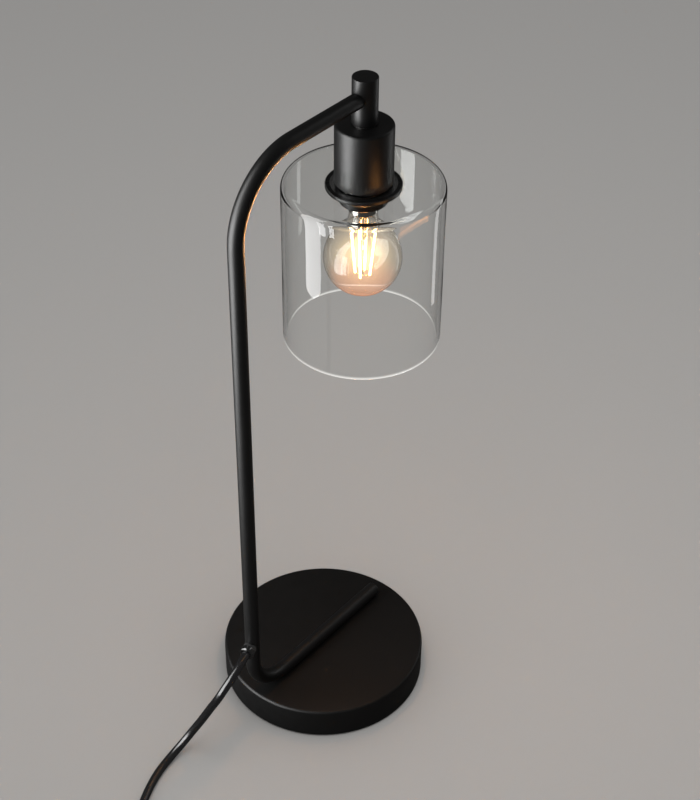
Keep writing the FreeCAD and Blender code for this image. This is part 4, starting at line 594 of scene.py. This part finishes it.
def build_tube():
    """One bar bent twice in the upright plane through foot, post and arm, and its end cap."""
    corners = [
        (FOOT_END, FOOT_LEVEL, 0), (POST[0], FOOT_LEVEL, FOOT_BEND),
        (POST[0], ARM_LEVEL, ARM_BEND), (ARM_END, ARM_LEVEL, 0),
    ]
    flat = rounded(corners, steps=40)
    path = np.stack([flat[:, 0], 0 * flat[:, 0], flat[:, 1]], axis=1)
    tube = swept_flat("bent_tube", path, TUBE_RADIUS, POWDER_COAT, 64)
    dress(tube, "lamp", "black_metal", "lamp_tube")
    cap = [(0, 0, 0), (TUBE_RADIUS, 0, 0), (TUBE_RADIUS, END_CAP, 0.5), (0, END_CAP, 0)]
    at = (FOOT_END, 0, FOOT_LEVEL)
    disc = turned("foot_end_cap", rounded(cap, steps=5), HOLDER_PLASTIC, 64, at, (1, 0, 0))
    dress(disc, "lamp", "black_plastic", "tube_end_cap")


def build_gland():
    """Collar of the cable outlet, its bore round the cord, over a washer on the post."""
    washer = [(3.1, 3.4, 0), (4.3, 3.4, 0), (4.3, 6.1, 0.3), (3.1, 6.1, 0)]
    collar = [(2.65, 6.1, 0), (4.7, 6.1, 0.2), (4.7, 9.5, 1.3), (2.65, 9.5, 0.35)]
    for name, corners, steps, material, slot, node in (
        ("outlet_washer", washer, 4, RUBBER, "rubber", "gland_washer"),
        ("outlet_collar", collar, 8, GLAND_PLASTIC, "black_plastic", "cord_gland"),
    ):
        ring = turned(name, rounded(corners, steps), material, 64, POST, GLAND_WAY, loop=True)
        dress(ring, "lamp", slot, node)


# ---------------------------------------------------------------- head
HEAD = (35.5, 0, 0)
GRIPS, GRIP_DEPTH, GRIP_TOP, GRIP_FROM = 24, 0.4, 350.4, 15.0
WALL_PART = 6
WAVES_FROM, WAVES_RISE = 20, 20


def build_head():
    """Stem, cup, clamp ring and skirt of the lampholder, all on the head's axis."""
    stem = rounded([(0, 392.6, 0), (7.25, 392.6, 0.3), (7.25, 420, 0.7), (0, 420, 0)], steps=6)
    dress(turned("top_stem", stem, POWDER_COAT, 96, HEAD), "lamp", "black_metal", "stem")
    cup = rounded(
        [
            (5.1, 391, 0), (15.5, 391, 0.6), (15.5, 356.6, 0.2),
            (16.5, 356.6, 0.3), (16.5, 392, 1.6), (5.1, 392, 0),
        ],
        steps=8,
    )
    piece = turned("holder_cup", cup, POWDER_COAT, 160, HEAD, loop=True)
    dress(piece, "lamp", "black_metal", "cup_cover")
    ring = rounded(
        [
            (14.15, 347.6, 0.2), (15.8, 347.6, 0.4), (15.8, 351.0, 0.3), (21.5, 351.6, 0.5),
            (21.5, 354, 0.5), (18.7, 354, 0.3), (17.9, 352.6, 0.3), (14.15, 352.6, 0.2),
        ],
        steps=4,
    )

    def grip(a, h, r):
        """Grooves round the hub: narrow dips, each the fourth power of a cosine."""
        dip = -GRIP_DEPTH * np.maximum(0, np.cos(GRIPS * a)) ** 4
        return np.where((h < GRIP_TOP) & (r > GRIP_FROM), dip, 0)

    piece = turned("clamp_ring", ring, HOLDER_PLASTIC, 384, HEAD, loop=True, ripple=grip)
    dress(piece, "lamp", "black_plastic", "shade_ring")
    skirt = rounded(
        [
            (12.3, 343, 0), (13.9, 343, 0.4), (13.9, 356, 0), (15.2, 356, 0), (15.2, 358, 0.2),
            (13.4, 358, 0), (13.4, 365.2, 0.4), (0, 365.2, 0), (0, 362, 0), (12.3, 362, 0),
        ],
        steps=4,
    )
    piece = turned("holder_skirt", skirt, HOLDER_PLASTIC, 128, HEAD, loop=True)
    dress(piece, "lamp", "black_plastic", "holder_body")


def build_shade():
    """Glass cylinder of even wall with soft rims. Its wall wanders by a few hundredths of a
    millimetre, a sum of slow waves round it and along it, as drawn glass does."""
    outline = rounded(
        [
            (14.4, 354, 0.5), (44, 354, 2.0), (44, 253, 0.9),
            (46, 253, 0.9), (46, 356, 4.0), (14.4, 356, 0.5),
        ],
        steps=10,
    )

    def drawn(a, h, r):
        """Three slow waves that fade out over the top, towards the axis."""
        wall = np.clip((r - WAVES_FROM) / WAVES_RISE, 0, 1)
        two, five = np.sin(2 * a + 0.04 * h), np.sin(5 * a - 0.07 * h + 1.0)
        return wall * (0.05 * two + 0.03 * five + 0.02 * np.sin(0.11 * h + r))

    outline = subdivided(outline, WALL_PART)
    piece = turned(
        "glass_cylinder", outline, SHADE_GLASS, 192, HEAD, loop=True, ripple=drawn, sharp=60
    )
    dress(piece, "lamp", "clear_glass", "glass_shade")


# ---------------------------------------------------------------- bulb
BULB_LOW, BULB_TOP = 284.3, 339.7
BALL, NECK, HOLLOW, BULB_WALL = 22.5, 8.1, 12.0, 0.6
CAP_RIM, CAP_PART = 336.7, 0.35
THREAD_PITCH, THREAD_HEIGHT, THREAD_FADE = 2.8, 0.35, 1.5
THREAD_OVER_RIM, THREAD_TOP = 4.6, 354.6
RODS, ROD_LENGTH, ROD_RADIUS, WIRE_RADIUS = 4, 32.0, 0.65, 0.25
RODS_OVER_LOW, RODS_WIDE, RODS_NARROW = 10.5, 7.4, 4.3
WIRE_GAP, WIRES_OUT, WIRES_UP, WIRES_DOWN, SPINE_TOP = 0.1, 2.5, 1.5, 0.8, 318.2


def bulb_outline(inset):
    """Half outline of the bulb, moved inwards by the inset: a ball's arc from the lowest point, a
    hollow arc that touches the ball and the neck, and the straight neck."""
    ball, neck, blend = BALL - inset, NECK - inset, HOLLOW + inset
    middle = BULB_LOW + BALL
    out = neck + blend
    up = math.sqrt((ball + blend) ** 2 - out**2)
    meet = math.atan2(up, out)
    a = np.linspace(-math.pi / 2, meet, 40)
    lower = np.stack([ball * np.cos(a), middle + ball * np.sin(a)], axis=1)
    lower[0, 0] = 0
    b = np.linspace(meet + math.pi, math.pi, 12)[1:]
    hollow = np.stack([out + blend * np.cos(b), middle + up + blend * np.sin(b)], axis=1)
    return np.concatenate([lower, hollow, [[neck, BULB_TOP]]])


def build_bulb():
    """The bulb's glass, open at the neck, and its screw cap with a rolled thread."""
    wall = np.concatenate([bulb_outline(0), bulb_outline(BULB_WALL)[::-1]])
    envelope = turned("bulb_envelope", wall, BULB_GLASS, 96, HEAD, sharp=70)
    dress(envelope, "bulb", "bulb_glass", "bulb_glass")
    profile = rounded(
        [
            (7.9, CAP_RIM, 0.2), (8.5, CAP_RIM, 0.3), (8.5, CAP_RIM + 3, 0.5),
            (6.9, CAP_RIM + 5, 0.8), (6.9, 354.5, 0.6), (4.8, 355.7, 0), (4.2, 355.4, 0),
            (6.3, 354.0, 0), (6.3, CAP_RIM + 5, 0.4), (7.9, CAP_RIM + 3, 0.4),
        ],
        steps=5,
    )

    def thread(a, h, r):
        """Rolled screw thread: one sine ridge to a pitch, fading out at both ends."""
        start = np.clip((h - CAP_RIM - THREAD_OVER_RIM) / THREAD_FADE, 0, 1)
        fade = start * np.clip((THREAD_TOP - h) / THREAD_FADE, 0, 1)
        return THREAD_HEIGHT * fade * np.sin(2 * math.pi * h / THREAD_PITCH - a)

    profile = subdivided(profile, CAP_PART)
    cap = turned("screw_cap", profile, NICKEL, 96, HEAD, loop=True, ripple=thread)
    dress(cap, "bulb", "nickel", "bulb_cap")


def build_filaments():
    """Four straight coated rods, wider apart at the top, with their thin wires to one spine."""
    head, low = np.array(HEAD), BULB_LOW + RODS_OVER_LOW
    high = low + math.sqrt(ROD_LENGTH**2 - (RODS_WIDE - RODS_NARROW) ** 2)
    foot = head + (0, 0, low - WIRES_DOWN)
    rods, wires = [], []

    def wire(name, a, b):
        """Adds a thin wire from a to b."""
        wires.append(rod(name, a, b, WIRE_RADIUS, NICKEL, 10, 0.1))

    for i in range(RODS):
        angle = 2 * math.pi / RODS * (i + 0.25)
        way = np.array([math.cos(angle), math.sin(angle), 0])
        lower = head + RODS_NARROW * way + (0, 0, low)
        upper = head + RODS_WIDE * way + (0, 0, high)
        gap = (upper - lower) / ROD_LENGTH * WIRE_GAP
        rods.append(rod("filament_%d" % i, lower, upper, ROD_RADIUS, FILAMENT, 16, 0.3))
        hub = head + WIRES_OUT * way + (0, 0, high + WIRES_UP)
        wire("upper_wire_%d" % i, upper + gap, hub)
        wire("lower_wire_%d" % i, lower - gap, foot)
    wire("spine_wire", foot, head + (0, 0, SPINE_TOP))
    dress(joined("lit_rods", rods), "bulb", "filament", "filaments")
    dress(joined("support_wires", wires), "bulb", "nickel", "filament_wires")


CAD_FINISHES = (
    (CAST_IRON, ("base_weight",)),
    (FOAM, ("foot_pad",)),
    (ZINC_STEEL, (
        "base_plate", "plate_screws", "foot_screws", "foot_nuts", "stem_washer",
        "threaded_nipple", "lock_nut", "switch_screws", "rocker_pin",
    )),
    (HOLDER_PLASTIC, ("holder_cap",)),
    (BRASS, (
        "holder_shell", "holder_contacts", "terminal_screws", "bulb_contact", "switch_contacts",
    )),
    (INSULATOR, ("bulb_insulator",)),
    (STEM_GLASS, ("bulb_stem",)),
    (WIRE_JACKET, ("inner_wires",)),
    (NICKEL, ("plug_pins",)),
    (SWITCH_PLASTIC, (
        "switch_lower_shell", "switch_upper_shell", "switch_rocker", "plug_body", "plug_relief",
    )),
)


def dress_cad_nodes():
    """Gives each CAD piece that no finer piece replaces its finish."""
    for material, names in CAD_FINISHES:
        for name in names:
            mesh = NODES[name].data
            mesh.materials.clear()
            mesh.materials.append(material)


# ---------------------------------------------------------------- stage and light
PALE_FLOOR = (0.44, 0.431, 0.42)
FLOOR_REACH, FLOOR_UNDER = 4.0, 0.0002
FLOOR_IN_MIRRORS, WORLD_IN_MIRRORS, WORLD_STRENGTH = 0.16, 0.2, 0.5
AXIS_X = 0.0355
# Lights that show only as highlights: name, place, aim, width, height and watts.
HIGHLIGHTS = (
    ("left_strip", (-0.343, 0.236, 0.46), (AXIS_X, 0, 0.46), 0.2, 0.9, 3.8),
    ("right_strip", (0.40, -0.17, 0.40), (AXIS_X, 0, 0.40), 0.06, 0.76, 0.25),
    ("left_softbox", (-0.52, 0.10, 0.26), (-0.03, 0, 0.26), 0.22, 0.5, 3.0),
)
TOP_SOFTBOX = ("top_softbox", (-0.2, -0.2, 1.5), (0, 0, 0.1), 0.9, 0.9, 8.5)
SHADE_GLOW = (
    "shade_glow", (0.0255, -0.0405, 0.345), (0.0278, -0.0146, 0.362), 0.02, 0.02, 0.003,
    (1.0, 0.42, 0.12),
)
BULB_GLOW_AT, BULB_GLOW_SIZE = (AXIS_X, 0, 0.311), 0.006
BULB_GLOW_POWER, BULB_GLOW_TINT = 0.32, (1.0, 0.46, 0.16)


def dimmed_in_mirrors(tree, colour, share):
    """The colour, but for mirror rays a share of the pale floor's colour instead: the dim room
    that the metal mirrors."""
    mirrored = mirror_ray(tree, add(tree, "ShaderNodeLightPath"))
    dim = (*(share * c for c in PALE_FLOOR), 1)
    return blended(tree, (*colour, 1), dim, mirrored)


def build_stage():
    """Plain matt floor, dimmer in mirrors than to the camera and through glass."""
    material, tree, shader = new_material("pale_floor")
    feed(tree, shader, {
        "Base Color": dimmed_in_mirrors(tree, PALE_FLOOR, FLOOR_IN_MIRRORS),
        "Roughness": 0.9,
        "Specular IOR Level": 0.0,
    })
    mesh = bpy.data.meshes.new("floor")
    low, high = -FLOOR_REACH, FLOOR_REACH
    corners = [(low, low, 0), (high, low, 0), (high, high, 0), (low, high, 0)]
    mesh.from_pydata(corners, [], [(0, 1, 2, 3)])
    mesh.materials.append(material)
    floor = new_object("floor", mesh)
    floor.location.z = -FLOOR_UNDER


def hidden_lamp(name, data, power, colour):
    """A lamp that neither the camera nor a ray through glass sees."""
    data.energy = power
    data.color = colour
    lamp = new_object(name, data)
    lamp.visible_camera = False
    lamp.visible_transmission = False
    return lamp


def soft_light(name, at, aim, width, height, power, colour=(1, 1, 1)):
    """Rectangle of light that faces its aim."""
    data = bpy.data.lights.new(name, "AREA")
    data.shape = "RECTANGLE"
    data.size, data.size_y = width, height
    lamp = hidden_lamp(name, data, power, colour)
    way = Vector(aim) - Vector(at)
    lamp.matrix_world = Matrix.Translation(at) @ way.to_track_quat("-Z", "Y").to_matrix().to_4x4()
    return lamp


def light_world():
    """White light from all round. To the camera and through glass it looks like the floor, and it
    is dim in mirrors."""
    world = bpy.data.worlds.new("studio")
    bpy.context.scene.world = world
    world.use_nodes = True
    tree = world.node_tree
    light = dimmed_in_mirrors(tree, (1, 1, 1), WORLD_IN_MIRRORS)
    path = add(tree, "ShaderNodeLightPath").outputs
    direct = calc(tree, "MAXIMUM", path["Is Camera Ray"], path["Is Transmission Ray"])
    seen = blended(tree, light, (*PALE_FLOOR, 1), direct)
    feed(tree, tree.nodes["Background"], {"Color": seen, "Strength": WORLD_STRENGTH})


def light_scene():
    """World, strips of light for the highlights, a soft top light, and the lit bulb's own glow."""
    light_world()
    for row in HIGHLIGHTS:
        soft_light(*row).visible_diffuse = False
    soft_light(*TOP_SOFTBOX).visible_glossy = False
    soft_light(*SHADE_GLOW).visible_diffuse = False
    point = bpy.data.lights.new("bulb_glow", "POINT")
    point.shadow_soft_size = BULB_GLOW_SIZE
    lamp = hidden_lamp("bulb_glow", point, BULB_GLOW_POWER, BULB_GLOW_TINT)
    lamp.location = BULB_GLOW_AT
    bpy.context.scene.view_settings.view_transform = "Standard"


set_camera()
lay_cords()
build_base()
build_tube()
build_gland()
build_head()
build_shade()
build_bulb()
build_filaments()
dress_cad_nodes()
build_stage()
light_scene()

bpy.context.view_layer.update()
